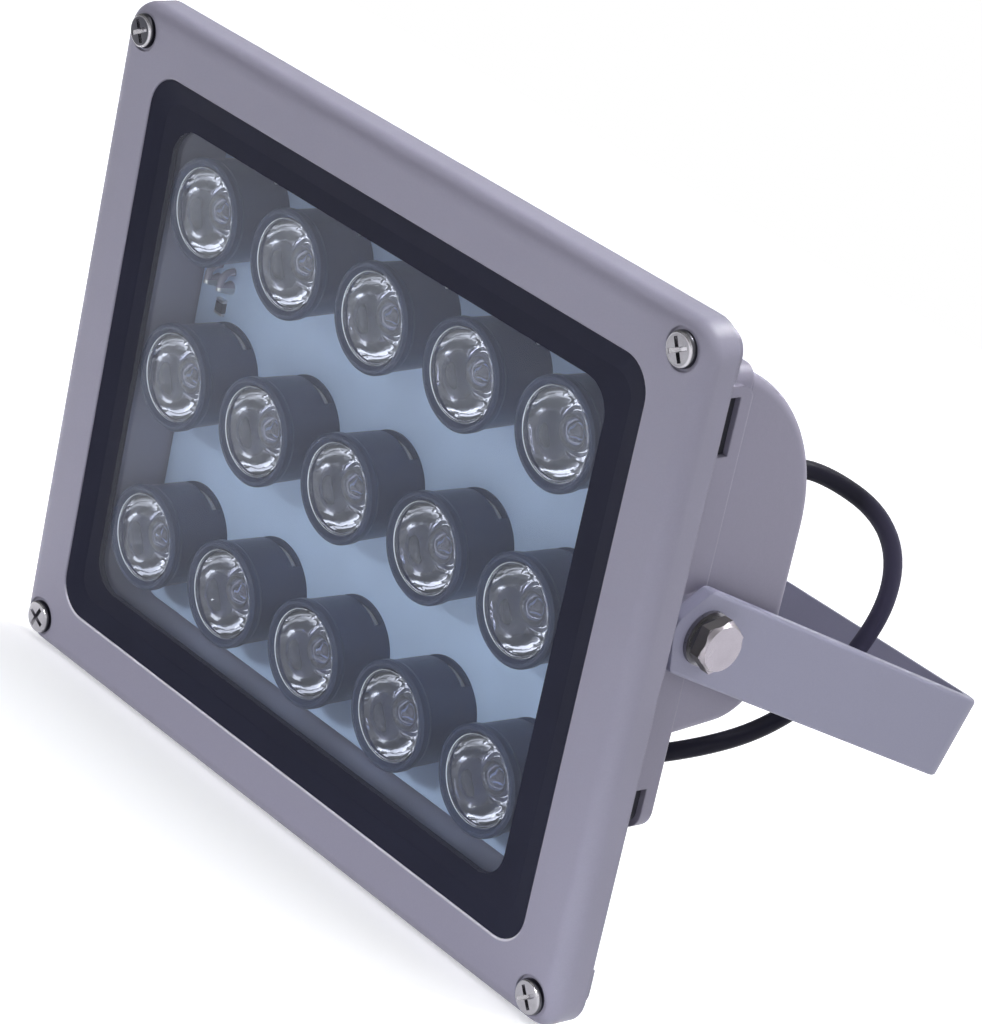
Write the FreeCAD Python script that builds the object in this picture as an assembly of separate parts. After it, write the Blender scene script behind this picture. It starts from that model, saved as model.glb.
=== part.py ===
import FreeCAD, Part
import math
import os

from FreeCAD import Vector, Rotation, Placement

# Infrared illuminator: a die-cast lamp head with a glazed bezel, hung in a U bracket.
# Millimetres. Row frame: the wall is the plane y = 0, the light looks along -Y, +Z is up.
# The head is drawn square in its own frame (x right, y from the bezel face backwards, z up)
# and is then swung about the pivot bolts by HEAD_TILT.

# Pose of the head and the bracket strap
HEAD_TILT = 23.0
ARM_REACH = 93.0
STRAP_WIDTH = 18.0
STRAP_THICK = 3.0
STRAP_BEND_R = 3.0
ARM_NOSE = 9.2
ARM_NOSE_FLAT = 2.6
ARM_CHAMFER = 5.0
ARM_CORNER_R = 2.4
STRAP_EDGE_R = 0.8
SIDE_PLAY = 0.1
BRACKET_INSET = 3.5
WALL_HOLE_R = 2.75
WALL_HOLE_SPACING = 60.0
CENTRE_HOLE_R = 4.25

# Pivot, in the head's frame
PIVOT_Y = 21.0
PIVOT_Z = 8.5
BOLT_R = 3.0
BOLT_PLAY = 0.08
BOLT_LENGTH = 12.5
BOLT_HEAD_FLATS = 10.0
BOLT_HEAD_H = 3.2
FLAT_WASHER_R = 5.7
FLAT_WASHER_T = 0.8
SPRING_WASHER_R = 5.0
SPRING_WASHER_T = 1.3
SPRING_WASHER_GAP = 1.2
PIVOT_BOSS_R = 7.7

# Bezel
BEZEL_WIDTH = 187.0
BEZEL_HEIGHT = 150.0
BEZEL_DEPTH = 8.5
BEZEL_CORNER_R = 7.0
BEZEL_EDGE_R = 3.9
BEZEL_WALL = 2.2
FRAME_FACE_SIDE = 13.25
FRAME_FACE_TOP = 12.5
OPENING_R = 7.5
OPENING_EDGE_R = 0.4
BEAD_WIDTH = 0.7
BEAD_SINK = 0.3
LIP_THICK = 1.3
BEZEL_SCREW_INSET_X = 6.9
BEZEL_SCREW_INSET_Z = 6.2
BEZEL_SCREW_R = 2.0
BEZEL_SCREW_HEAD_R = 3.9
BEZEL_SCREW_HEAD_H = 2.3
SPOTFACE_R = 4.3
SPOTFACE_DEPTH = 0.5
SCREW_CLEARANCE = 0.2
THREAD_PLAY = 0.05

# Glass, its printed border and its seal
GLASS_THICK = 2.8
GLASS_OVERLAP = 4.5
GLASS_PLAY = 0.3
BORDER_THICK = 0.15
BORDER_SIDE = 9.6
BORDER_TOP = 9.0
WINDOW_R = 7.0
WINDOW_X = -0.8
WINDOW_Z = 0.2
GLASS_SEAL_THICK = 1.0
GLASS_SEAL_WIDTH = 6.0

# Cast body: tray, rims, pads, fins
TRAY_BEHIND_X = 4.35
TRAY_BEHIND_Z = 5.5
TRAY_WALL = 3.0
TRAY_R = 6.0
RIM_INSET_X = 7.1
RIM_INSET_Z = 4.0
RIM_THICK = 3.0
RIM_GAP = 0.2
FLANGE_INSET = 8.3
FLANGE_TOP = 59.0
FLANGE_BOTTOM = -37.0
FLANGE_THICK = 3.6
FLANGE_R = 4.5
FLANGE_TOP_R = 1.5
CHEEK_FOOT = 2.3
CHEEK_R = 4.0
FLANGE_EDGE_R = 0.8
SEAT_PLATE = 1.8
SEAT_PLATE_R = 3.0
PAD_TOP = 44.4
PAD_BOTTOM = -26.8
PAD_THICK = 3.8
FLOOR_THICK = 2.65
FIN_COUNT = 15
FIN_THICK = 2.0
FIN_DEPTH = 12.0
FIN_SPAN = 116.0
FIN_TOP = -19.5
FIN_BOTTOM = -57.0
FIN_CORNER = 5.0
LUG_REACH = 12.0
LUG_PLAY = 0.3
RIM_SEAL_REACH = 1.2
RIM_SEAL_PLAY = 0.15
RIM_SEAL_WALL = 2.85

# Rear cover
COVER_INSET = 1.2
COVER_BACK = 48.1
COVER_WALL = 2.5
COVER_TOP_R = 37.5
COVER_TOP_ARC_Z = 25.6
COVER_BOTTOM_R = 13.0
COVER_FOOT_Z = -16.9
COVER_DRAFT = 6.0
COVER_EDGE_R = 2.2
COVER_SEAL = 1.6
COVER_SEAL_PLAY = 0.2
BOSS_PLAY = 0.3
COVER_SCREW_INSET = 12.0
COVER_SCREW_LOW_Z = -5.0
COVER_SCREW_HIGH_Z = 47.0
COVER_SCREW_R = 1.5
COVER_SCREW_HEAD_R = 2.9
COVER_SCREW_HEAD_H = 2.0
COVER_SCREW_LENGTH = 10.0
COVER_SCREW_SEAT = 6.0
COVER_POST_R = 4.2
BODY_BOSS_H = 6.2
POST_GAP = 0.2

# Emitter array
COLUMNS = 5
ROWS = 3
ARRAY_MARGIN_X = 17.0
ARRAY_MARGIN_Z = 21.3
ARRAY_X = -2.5
ARRAY_Z = 0.0
HOLDER_GAP = 0.3
HOLDER_LENGTH = 15.0
HOLDER_R = 11.2
HOLDER_FOOT_R = 10.9
HOLDER_BORE_R = 9.4
HOLDER_RIM_R = 11.6
HOLDER_RIM_EDGE = 0.5
HOLDER_RIM_LENGTH = 1.9
HOLDER_RIM_NECK = 0.8
HOLDER_MOUTH_R = 10.5
HOLDER_MOUTH_DEPTH = 0.9
LENS_LEDGE = 0.4
NOTCH_HALF_ANGLE = 40.0
NOTCH_HEIGHT = 2.3
NOTCH_FOOT = 0.4
LENS_PLAY = 0.15
LENS_FLANGE = 1.4
LENS_LENGTH = 11.0
LENS_TAIL_R = 4.6
LENS_CUP_R = 2.9
LENS_CUP_DEPTH = 4.0
LENS_WELL_R = 4.4
LENS_WELL_DEPTH = 2.6
BOARD_THICK = 1.6
BOARD_MARGIN = 0.6
BOARD_R = 4.0
BOARD_SCREW_R = 1.5
BOARD_SCREW_HEAD_R = 2.7
BOARD_SCREW_HEAD_H = 1.8
BOARD_SCREW_LENGTH = 3.8
BOARD_SCREW_COLUMNS = 1.5
EMITTER_SIZE = 5.0
EMITTER_BASE = 1.1
EMITTER_DOME_R = 2.1
RESISTOR_INSET = 8.9
RESISTOR_Z = 13.0
RESISTOR_WIDTH = 2.6
RESISTOR_LENGTH = 3.6
RESISTOR_THICK = 1.1
LEAD_INSET = 8.2
LEAD_Z = 21.6
LEAD_R = 0.8
LEAD_SPACING = 4.6
LEAD_BEND = 2.4
LEAD_RISE = 3.0
LEAD_END = 1.6
SOLDER_R = 1.5

# Driver inside the rear cover
DRIVER_X = -12.0
DRIVER_Z = 16.0
DRIVER_WIDTH = 100.0
DRIVER_HEIGHT = 46.0
DRIVER_STANDOFF = 5.0
DRIVER_POST_R = 3.0
DRIVER_SCREW_INSET = 4.5
CHOKE_X = -18.0
CHOKE_WIDTH = 20.0
CHOKE_HEIGHT = 11.0
CHOKE_FLANGE = 2.0
CAPACITOR_X = 18.0
CAPACITOR_SPREAD = 22.0
CAPACITOR_R = 5.0
CAPACITOR_LENGTH = 10.0

# Cable gland, in the rear cover's back wall
GLAND_X = 58.0
GLAND_Z = 25.0
GLAND_HOLE_R = 4.0
GLAND_HEX = 12.0
GLAND_HEX_H = 4.0
GLAND_CAP_R = 5.4
GLAND_CAP_H = 7.6
GLAND_MOUTH_R = 3.4
GLAND_NUT_H = 3.0
GLAND_NUT_HEX = 11.0
GLAND_SEAT_R = 7.0
GLAND_SEAT = 1.0
GLAND_INSIDE = 7.0

# Supply lead, a 4 mm round jacket. It starts at the gland's mouth, and these are the points
# that it turns at, in the head's frame.
CORD_R = 2.0
CORD_POINTS = [
    (58.4, 69.4, 25.6),
    (61.1, 78.4, 23.1),
    (66.8, 87.9, 17.4),
    (69.1, 94.5, 7.9),
    (68.3, 97.0, -4.5),
    (65.4, 94.5, -17.4),
    (63.1, 87.0, -27.9),
    (61.0, 75.9, -34.7),
    (58.1, 63.3, -38.1),
    (49.8, 52.7, -42.9),
    (37.5, 46.8, -51.7),
    (23.5, 43.0, -60.5),
    (8.0, 41.2, -64.0),
]
WINDING_X = -8.0
WINDING_Y = 46.0
WINDING_Z = -42.0
WINDING_R = 22.0
WINDING_TURNS = 2.5
WINDING_PITCH = 4.1
TAIL_LENGTH = 14.0
SOCKET_R = 4.8
SOCKET_LENGTH = 20.0
SOCKET_RELIEF = 12.0
SOCKET_BORE_R = 2.75
SOCKET_BORE_DEPTH = 9.5
SOCKET_PIN_R = 1.05
TIE_THICK = 1.0
TIE_WIDTH = 3.6

# Sizes and depths that follow from the ones above
OPENING_WIDTH = BEZEL_WIDTH - 2 * FRAME_FACE_SIDE
OPENING_HEIGHT = BEZEL_HEIGHT - 2 * FRAME_FACE_TOP
WINDOW_WIDTH = OPENING_WIDTH - 2 * BORDER_SIDE
WINDOW_HEIGHT = OPENING_HEIGHT - 2 * BORDER_TOP
BEZEL_SCREW_X = BEZEL_WIDTH / 2 - BEZEL_SCREW_INSET_X
BEZEL_SCREW_Z = BEZEL_HEIGHT / 2 - BEZEL_SCREW_INSET_Z
TRAY_HALF_X = WINDOW_WIDTH / 2 + TRAY_BEHIND_X
TRAY_HALF_Z = WINDOW_HEIGHT / 2 + TRAY_BEHIND_Z
RIM_HALF_X = BEZEL_WIDTH / 2 - RIM_INSET_X
RIM_HALF_Z = BEZEL_HEIGHT / 2 - RIM_INSET_Z
FLANGE_HALF_X = BEZEL_WIDTH / 2 - FLANGE_INSET
COVER_HALF_X = FLANGE_HALF_X - COVER_INSET
COVER_SCREW_X = COVER_HALF_X - COVER_SCREW_INSET
ARM_HALF_WIDTH = BEZEL_WIDTH / 2 - BRACKET_INSET
COLUMN_PITCH = 2 * (TRAY_HALF_X - ARRAY_MARGIN_X) / (COLUMNS - 1)
ROW_PITCH = 2 * (TRAY_HALF_Z - ARRAY_MARGIN_Z) / (ROWS - 1)
RESISTOR_X = RESISTOR_INSET - TRAY_HALF_X
LEAD_X = LEAD_INSET - TRAY_HALF_X
GLASS_FRONT = LIP_THICK
GLASS_BACK = GLASS_FRONT + GLASS_THICK
BORDER_BACK = GLASS_BACK + BORDER_THICK
SEAL_BACK = BORDER_BACK + GLASS_SEAL_THICK
HOLDER_FRONT = BORDER_BACK + HOLDER_GAP
BOARD_FRONT = HOLDER_FRONT + HOLDER_LENGTH
BOARD_BACK = BOARD_FRONT + BOARD_THICK
FLANGE_BACK = BOARD_BACK + FLOOR_THICK
FLANGE_FRONT = FLANGE_BACK - FLANGE_THICK
RIM_FRONT = BEZEL_DEPTH + RIM_GAP
RIM_BACK = RIM_FRONT + RIM_THICK
GLASS_WIDTH = OPENING_WIDTH + 2 * GLASS_OVERLAP
GLASS_HEIGHT = OPENING_HEIGHT + 2 * GLASS_OVERLAP
GLASS_R = OPENING_R + GLASS_OVERLAP / 2
BOSS_FACE = ARM_HALF_WIDTH - STRAP_THICK - SIDE_PLAY
COVER_INNER_BACK = COVER_BACK - COVER_WALL
BODY_BOSS_TOP = FLANGE_BACK + BODY_BOSS_H
SCREW_SEAT = BODY_BOSS_TOP + COVER_SCREW_SEAT
DRIVER_FRONT = FLANGE_BACK + DRIVER_STANDOFF
DRIVER_BACK = DRIVER_FRONT + BOARD_THICK
UNIT_X = Vector(1, 0, 0)
UNIT_Y = Vector(0, 1, 0)
UNIT_Z = Vector(0, 0, 1)


# Shared shapes

def slab(width, height, radius, front, back, x=0.0, z=0.0):
    """A plate with rounded corners that faces along Y."""
    box = Part.makeBox(width, back - front, height, Vector(x - width / 2, front, z - height / 2))
    upright = [edge for edge in box.Edges if abs(edge.tangentAt(edge.FirstParameter).y) > 0.99]
    return box.makeFillet(radius, upright) if radius > 0 else box


def band(left, right, bottom, top, radius, front, back):
    """A rounded plate given by its four sides."""
    return slab(right - left, top - bottom, radius, front, back, (left + right) / 2, (bottom + top) / 2)


def rod(radius, front, back, x, z):
    """A cylinder along Y."""
    return Part.makeCylinder(radius, back - front, Vector(x, front, z), UNIT_Y)


def cross_rod(radius, start, end, y, z):
    """A cylinder along X."""
    return Part.makeCylinder(radius, abs(end - start), Vector(min(start, end), y, z), UNIT_X)


def turned(profile, x=0.0, z=0.0):
    """A solid of revolution about an axis along Y, from (radius, y) points."""
    points = [Vector(r, y, 0) for r, y in profile]
    wire = Part.makePolygon(points + [points[0]])
    solid = Part.Face(wire).revolve(Vector(0, 0, 0), UNIT_Y, 360)
    solid = Part.Solid(solid) if solid.ShapeType != "Solid" else solid
    solid.translate(Vector(x, 0, z))
    return solid


def edges_at(shape, y):
    """The edges of a shape that lie in one plane across the head's axis."""
    return [e for e in shape.Edges if all(abs(v.Y - y) < 1e-6 for v in e.Vertexes) and
            abs(e.BoundBox.YMax - e.BoundBox.YMin) < 1e-6]


def mirrored(shape):
    """The same shape on the other side of the head."""
    return shape.mirror(Vector(0, 0, 0), UNIT_X)


def both_sides(shape):
    return [shape, mirrored(shape)]


def fuse(shapes):
    solid = shapes[0]
    if len(shapes) > 1:
        solid = solid.multiFuse(shapes[1:])
    return solid.removeSplitter()


def cross_recess(reach, width, depth, y, x, z):
    """The cross-shaped socket of a driven screw head, tapered to a point."""
    arm = Part.makeBox(2 * reach, depth, width, Vector(x - reach, y, z - width / 2))
    other = Part.makeBox(width, depth, 2 * reach, Vector(x - width / 2, y, z - reach))
    cone = Part.makeCone(reach, reach * 0.4, depth, Vector(x, y, z), UNIT_Y)
    return arm.fuse(other).common(cone)


def front_screw(head_r, head_h, shank_r, length, seat, x, z):
    """A pan-head screw seated at y = seat with its head to the front."""
    crown = head_h * 0.35
    head = turned([(0, seat - head_h), (head_r * 0.62, seat - head_h + crown * 0.35),
                   (head_r * 0.9, seat - head_h + crown * 1.3), (head_r, seat - head_h * 0.35),
                   (head_r, seat), (0, seat)], x, z)
    recess = cross_recess(head_r * 0.58, head_r * 0.24, head_h * 0.7, seat - head_h - 0.01, x, z)
    screw = head.fuse(rod(shank_r, seat - 0.2, seat + length, x, z)).cut(recess)
    return screw.removeSplitter()


def back_screw(head_r, head_h, shank_r, length, seat, x, z):
    """A pan-head screw with its head to the back."""
    screw = front_screw(head_r, head_h, shank_r, length, seat, x, z)
    screw.rotate(Vector(x, seat, z), UNIT_Z, 180)
    return screw


def hexagon(flats, front, back, y, z):
    """A hexagonal prism along X."""
    corner = flats / math.sqrt(3)
    points = []
    for i in range(7):
        angle = math.radians(60 * i + 14)
        points.append(Vector(front, y + corner * math.cos(angle), z + corner * math.sin(angle)))
    return Part.Face(Part.makePolygon(points)).extrude(Vector(back - front, 0, 0))


# Bezel and glass

def bezel_frame():
    outer = slab(BEZEL_WIDTH, BEZEL_HEIGHT, BEZEL_CORNER_R, 0, BEZEL_DEPTH)
    outer = outer.makeFillet(BEZEL_EDGE_R, edges_at(outer, 0))
    opening = slab(OPENING_WIDTH, OPENING_HEIGHT, OPENING_R, -1, BEZEL_DEPTH + 1)
    frame = outer.cut(opening)
    mouth = [e for e in edges_at(frame, 0) if e.BoundBox.XMax < OPENING_WIDTH / 2 + 0.1
             and e.BoundBox.XMin > -OPENING_WIDTH / 2 - 0.1
             and abs(e.BoundBox.ZMax) < OPENING_HEIGHT / 2 + 0.1
             and abs(e.BoundBox.ZMin) < OPENING_HEIGHT / 2 + 0.1]
    frame = frame.makeFillet(OPENING_EDGE_R, mouth)
    pocket = slab(GLASS_WIDTH + GLASS_PLAY, GLASS_HEIGHT + GLASS_PLAY, GLASS_R, LIP_THICK, BEZEL_DEPTH + 1)
    hollow = slab(BEZEL_WIDTH - 2 * BEZEL_WALL, BEZEL_HEIGHT - 2 * BEZEL_WALL,
                  BEZEL_CORNER_R - BEZEL_WALL, GLASS_BACK, BEZEL_DEPTH + 1)
    frame = frame.cut(pocket).cut(hollow)
    for x, z in corners(BEZEL_SCREW_X, BEZEL_SCREW_Z):
        frame = frame.cut(rod(BEZEL_SCREW_R + SCREW_CLEARANCE, -1, BEZEL_DEPTH, x, z))
        frame = frame.cut(rod(SPOTFACE_R, -1, SPOTFACE_DEPTH, x, z))
    return frame


def corners(x, z):
    return [(-x, z), (x, z), (-x, -z), (x, -z)]


def bezel_screws():
    return [front_screw(BEZEL_SCREW_HEAD_R, BEZEL_SCREW_HEAD_H, BEZEL_SCREW_R,
                        RIM_BACK - SPOTFACE_DEPTH - 1.0, SPOTFACE_DEPTH, x, z)
            for x, z in corners(BEZEL_SCREW_X, BEZEL_SCREW_Z)]


def glass_pane():
    return slab(GLASS_WIDTH, GLASS_HEIGHT, GLASS_R - 0.2, GLASS_FRONT, GLASS_BACK)


def glass_border():
    sheet = slab(GLASS_WIDTH, GLASS_HEIGHT, GLASS_R - 0.2, GLASS_BACK, BORDER_BACK)
    return sheet.cut(slab(WINDOW_WIDTH, WINDOW_HEIGHT, WINDOW_R, GLASS_BACK - 1, BORDER_BACK + 1,
                          WINDOW_X, WINDOW_Z))


def glass_bead():
    """Sealing bead in the corner between the pane and the bezel's lip."""
    ring = slab(OPENING_WIDTH, OPENING_HEIGHT, OPENING_R, BEAD_SINK, LIP_THICK)
    inside = slab(OPENING_WIDTH - 2 * BEAD_WIDTH, OPENING_HEIGHT - 2 * BEAD_WIDTH,
                  OPENING_R - BEAD_WIDTH, BEAD_SINK - 1, LIP_THICK + 1)
    return ring.cut(inside)


def glass_seal():
    ring = slab(GLASS_WIDTH, GLASS_HEIGHT, GLASS_R - 0.2, BORDER_BACK, SEAL_BACK)
    return ring.cut(slab(GLASS_WIDTH - 2 * GLASS_SEAL_WIDTH - 8, GLASS_HEIGHT - 2 * GLASS_SEAL_WIDTH - 4,
                         TRAY_R, BORDER_BACK - 1, SEAL_BACK + 1))


# Cast body

def tray_block(front, back, grow=0.0):
    return slab(2 * (TRAY_HALF_X + TRAY_WALL + grow), 2 * (TRAY_HALF_Z + TRAY_WALL + grow),
                TRAY_R + TRAY_WALL + grow, front, back)


def flange_plate(front, back, inset=0.0):
    half = FLANGE_HALF_X - inset
    top = FLANGE_TOP - inset
    low = band(-half, half, FLANGE_BOTTOM + inset, top, FLANGE_R - inset, front, back)
    high = band(-half, half, PIVOT_Z, top, FLANGE_TOP_R - inset, front, back)
    return low.fuse(high).removeSplitter()


def cheeks():
    """Raised ends of the flange's top, closed up to the rim. The cover's sides run on above them."""
    inner = FLANGE_HALF_X - PAD_THICK
    front = RIM_BACK - 0.5
    foot = FLANGE_TOP - CHEEK_FOOT
    top = TRAY_HALF_Z + TRAY_WALL
    deep = FLANGE_BACK - FLANGE_EDGE_R - front
    low = Part.makeBox(PAD_THICK, deep, FLANGE_TOP - foot, Vector(inner, front, foot))
    high = band(-COVER_HALF_X, COVER_HALF_X, PIVOT_Z, top, SEAT_PLATE_R, front, FLANGE_BACK - 0.5)
    corner = Part.makeBox(COVER_HALF_X - inner, FLANGE_BACK - front, top - foot, Vector(inner, front, foot))
    return both_sides(low) + [high.common(side) for side in both_sides(corner)]


def cheek_rounding():
    """What the round upper corner of each raised cheek leaves off."""
    centre_y = FLANGE_BACK - CHEEK_R
    centre_z = FLANGE_TOP - CHEEK_R
    block = Part.makeBox(FLANGE_HALF_X, CHEEK_R + 1, CHEEK_R + 1, Vector(COVER_HALF_X, centre_y, centre_z))
    return both_sides(block.cut(cross_rod(CHEEK_R, 0, 2 * FLANGE_HALF_X, centre_y, centre_z)))


def housing_body():
    tray = tray_block(SEAL_BACK, FLANGE_BACK)
    rim = slab(2 * RIM_HALF_X, 2 * RIM_HALF_Z, TRAY_R, RIM_FRONT, RIM_BACK)
    flange = flange_plate(FLANGE_FRONT, FLANGE_BACK)
    flange = flange.makeFillet(FLANGE_EDGE_R, edges_at(flange, FLANGE_BACK))
    seat = band(-COVER_HALF_X, COVER_HALF_X, PIVOT_Z, TRAY_HALF_Z + TRAY_WALL, SEAT_PLATE_R,
                FLANGE_BACK - SEAT_PLATE, FLANGE_BACK)
    parts = [tray, rim, flange, seat] + corner_lugs() + cheeks()
    pad = Part.makeBox(PAD_THICK, FLANGE_BACK - RIM_FRONT - FLANGE_EDGE_R, PAD_TOP - PAD_BOTTOM,
                       Vector(FLANGE_HALF_X - PAD_THICK, RIM_FRONT, PAD_BOTTOM))
    boss = cross_rod(PIVOT_BOSS_R, TRAY_HALF_X + 1.0, BOSS_FACE, PIVOT_Y, PIVOT_Z)
    parts += both_sides(pad) + both_sides(boss)
    for x, z in cover_screw_places():
        parts.append(rod(COVER_POST_R, FLANGE_BACK - 1, BODY_BOSS_TOP, x, z))
    for x, z in driver_screw_places():
        parts.append(rod(DRIVER_POST_R, FLANGE_BACK - 1, DRIVER_FRONT, x, z))
    parts += fins()
    body = fuse(parts)
    body = body.cut(slab(2 * TRAY_HALF_X, 2 * TRAY_HALF_Z, TRAY_R, SEAL_BACK - 1, BOARD_BACK))
    bolt_hole = cross_rod(BOLT_R + THREAD_PLAY, ARM_HALF_WIDTH - BOLT_LENGTH - 0.5, BOSS_FACE + 1,
                          PIVOT_Y, PIVOT_Z)
    holes = both_sides(bolt_hole) + cheek_rounding()
    for x, z in corners(BEZEL_SCREW_X, BEZEL_SCREW_Z):
        holes.append(rod(BEZEL_SCREW_R + THREAD_PLAY, GLASS_BACK, RIM_BACK + 1, x, z))
    for x, z in cover_screw_places():
        holes.append(rod(COVER_SCREW_R + THREAD_PLAY, BODY_BOSS_TOP - COVER_SCREW_SEAT,
                         BODY_BOSS_TOP + 1, x, z))
    for x, z in driver_screw_places():
        holes.append(rod(BOARD_SCREW_R + THREAD_PLAY, FLANGE_BACK, DRIVER_FRONT + 1, x, z))
    for x, z in board_screw_places():
        holes.append(rod(BOARD_SCREW_R + THREAD_PLAY, BOARD_BACK - 1, FLANGE_BACK - 0.4, x, z))
    for x in (LEAD_X - LEAD_SPACING / 2, LEAD_X + LEAD_SPACING / 2):
        holes.append(rod(2 * LEAD_R, BOARD_BACK - 1, FLANGE_BACK + 1, x, LEAD_Z))
    return body.cut(Part.makeCompound(holes))


def corner_lugs():
    """Solid corners that the bezel screws bite into, inside the bezel's side walls."""
    wall = BEZEL_WALL + LUG_PLAY
    inside = slab(BEZEL_WIDTH - 2 * wall, BEZEL_HEIGHT - 2 * wall, BEZEL_CORNER_R - wall,
                  GLASS_BACK + LUG_PLAY, RIM_BACK)
    lugs = []
    for x, z in corners(BEZEL_SCREW_X, BEZEL_SCREW_Z):
        low = Vector(x - LUG_REACH / 2, GLASS_BACK, z - LUG_REACH / 2)
        block = Part.makeBox(LUG_REACH, RIM_BACK - GLASS_BACK, LUG_REACH, low)
        block = block.cut(slab(GLASS_WIDTH + 1, GLASS_HEIGHT + 1, GLASS_R, 0, RIM_FRONT))
        lugs.append(block.common(inside))
    return lugs


def fins():
    """Upright cooling fins on the back of the tray, under the rear cover."""
    step = FIN_SPAN / (FIN_COUNT - 1)
    shapes = []
    for i in range(FIN_COUNT):
        x = -FIN_SPAN / 2 + i * step
        back = FLANGE_BACK + FIN_DEPTH
        outline = [(FLANGE_BACK - 1, FIN_TOP), (back, FIN_TOP), (back, FIN_BOTTOM + FIN_CORNER),
                   (back - FIN_CORNER, FIN_BOTTOM), (FLANGE_BACK - 1, FIN_BOTTOM)]
        points = [Vector(x - FIN_THICK / 2, y, z) for y, z in outline]
        face = Part.Face(Part.makePolygon(points + [points[0]]))
        shapes.append(face.extrude(Vector(FIN_THICK, 0, 0)))
    return shapes


def rim_seal():
    """Black rubber ring round the tray, with lobes that show in the side slots."""
    front = RIM_BACK + RIM_SEAL_PLAY
    back = FLANGE_FRONT - RIM_SEAL_PLAY
    play = RIM_SEAL_PLAY
    inner_x = FLANGE_HALF_X - PAD_THICK - play
    ring = tray_block(front, back, RIM_SEAL_WALL)
    ring = ring.common(slab(2 * inner_x, 2 * BEZEL_HEIGHT, 0, front, back))
    lobes = flange_plate(front, back, RIM_SEAL_REACH)
    pads = band(-BEZEL_WIDTH, BEZEL_WIDTH, PAD_BOTTOM - play, PAD_TOP + play, 0, front, back)
    middle = slab(2 * inner_x, 4 * BEZEL_HEIGHT, 0, front, back)
    above = band(-BEZEL_WIDTH, BEZEL_WIDTH, FLANGE_TOP - CHEEK_FOOT - 2 * play, BEZEL_HEIGHT, 0, front, back)
    lobes = lobes.cut(pads.cut(middle)).cut(above.cut(middle))
    ring = fuse([ring, lobes])
    ring = ring.cut(tray_block(front, back, play))
    for side in both_sides(cross_rod(PIVOT_BOSS_R + play, TRAY_HALF_X, BOSS_FACE, PIVOT_Y, PIVOT_Z)):
        ring = ring.cut(side)
    return ring


# Rear cover

def cover_profile(inset, front):
    """Side outline of the cover: a big round shoulder, a flat back and a rounded foot."""
    back = COVER_BACK - inset
    top_r = COVER_TOP_R - inset
    foot_r = COVER_BOTTOM_R - inset
    draft = math.radians(COVER_DRAFT)
    arc_y = COVER_BACK - COVER_TOP_R
    foot_y = COVER_BACK - COVER_BOTTOM_R
    foot_z = COVER_FOOT_Z + math.tan(draft) * (foot_y - FLANGE_BACK) + COVER_BOTTOM_R / math.cos(draft)
    top_z = COVER_TOP_ARC_Z + math.sqrt(top_r ** 2 - (front - arc_y) ** 2)
    start = math.atan2(top_z - COVER_TOP_ARC_Z, front - arc_y)
    toe = Vector(0, foot_y + foot_r * math.sin(draft), foot_z - foot_r * math.cos(draft))
    heel_z = toe.z - math.tan(draft) * (toe.y - front)

    def on_top(angle):
        return Vector(0, arc_y + top_r * math.cos(angle), COVER_TOP_ARC_Z + top_r * math.sin(angle))

    def on_foot(angle):
        return Vector(0, foot_y + foot_r * math.cos(angle), foot_z + foot_r * math.sin(angle))

    lowest = -math.pi / 2 + draft
    edges = [Part.Arc(on_top(start), on_top(start / 2), on_top(0)).toShape(),
             Part.LineSegment(on_top(0), on_foot(0)).toShape(),
             Part.Arc(on_foot(0), on_foot(lowest / 2), on_foot(lowest)).toShape(),
             Part.LineSegment(on_foot(lowest), Vector(0, front, heel_z)).toShape(),
             Part.LineSegment(Vector(0, front, heel_z), on_top(start)).toShape()]
    return Part.Face(Part.Wire(edges))


def cover_block(inset, front):
    half = COVER_HALF_X - inset
    face = cover_profile(inset, front)
    face.translate(Vector(-half, 0, 0))
    return face.extrude(Vector(2 * half, 0, 0))


def cover_screw_places():
    return [(side * COVER_SCREW_X, z) for side in (-1, 1) for z in (COVER_SCREW_LOW_Z, COVER_SCREW_HIGH_Z)]


def rear_cover():
    block = cover_block(0.0, FLANGE_BACK)
    rim = [e for e in block.Edges if min(abs(v.X) for v in e.Vertexes) > COVER_HALF_X - 0.01
           and e.BoundBox.YMax > FLANGE_BACK + 0.01 and abs(e.BoundBox.XMax - e.BoundBox.XMin) < 0.01]
    outer = block.makeFillet(COVER_EDGE_R, rim)
    cover = outer.cut(cover_block(COVER_WALL, FLANGE_BACK - 0.001))
    posts = [rod(COVER_POST_R, BODY_BOSS_TOP + POST_GAP, COVER_BACK, x, z).common(outer)
             for x, z in cover_screw_places()]
    posts.append(rod(GLAND_SEAT_R, COVER_INNER_BACK - GLAND_SEAT, COVER_BACK, GLAND_X, GLAND_Z).common(outer))
    cover = fuse([cover] + posts)
    for x, z in cover_screw_places():
        cover = cover.cut(rod(COVER_SCREW_R + SCREW_CLEARANCE, FLANGE_BACK, COVER_BACK + 1, x, z))
        cover = cover.cut(rod(COVER_SCREW_HEAD_R + 0.4, SCREW_SEAT, COVER_BACK + 1, x, z))
    for side in both_sides(cross_rod(PIVOT_BOSS_R + BOSS_PLAY, TRAY_HALF_X, BOSS_FACE + 1, PIVOT_Y, PIVOT_Z)):
        cover = cover.cut(side)
    return cover.cut(rod(GLAND_HOLE_R, FLANGE_BACK, COVER_BACK + 1, GLAND_X, GLAND_Z))


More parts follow.
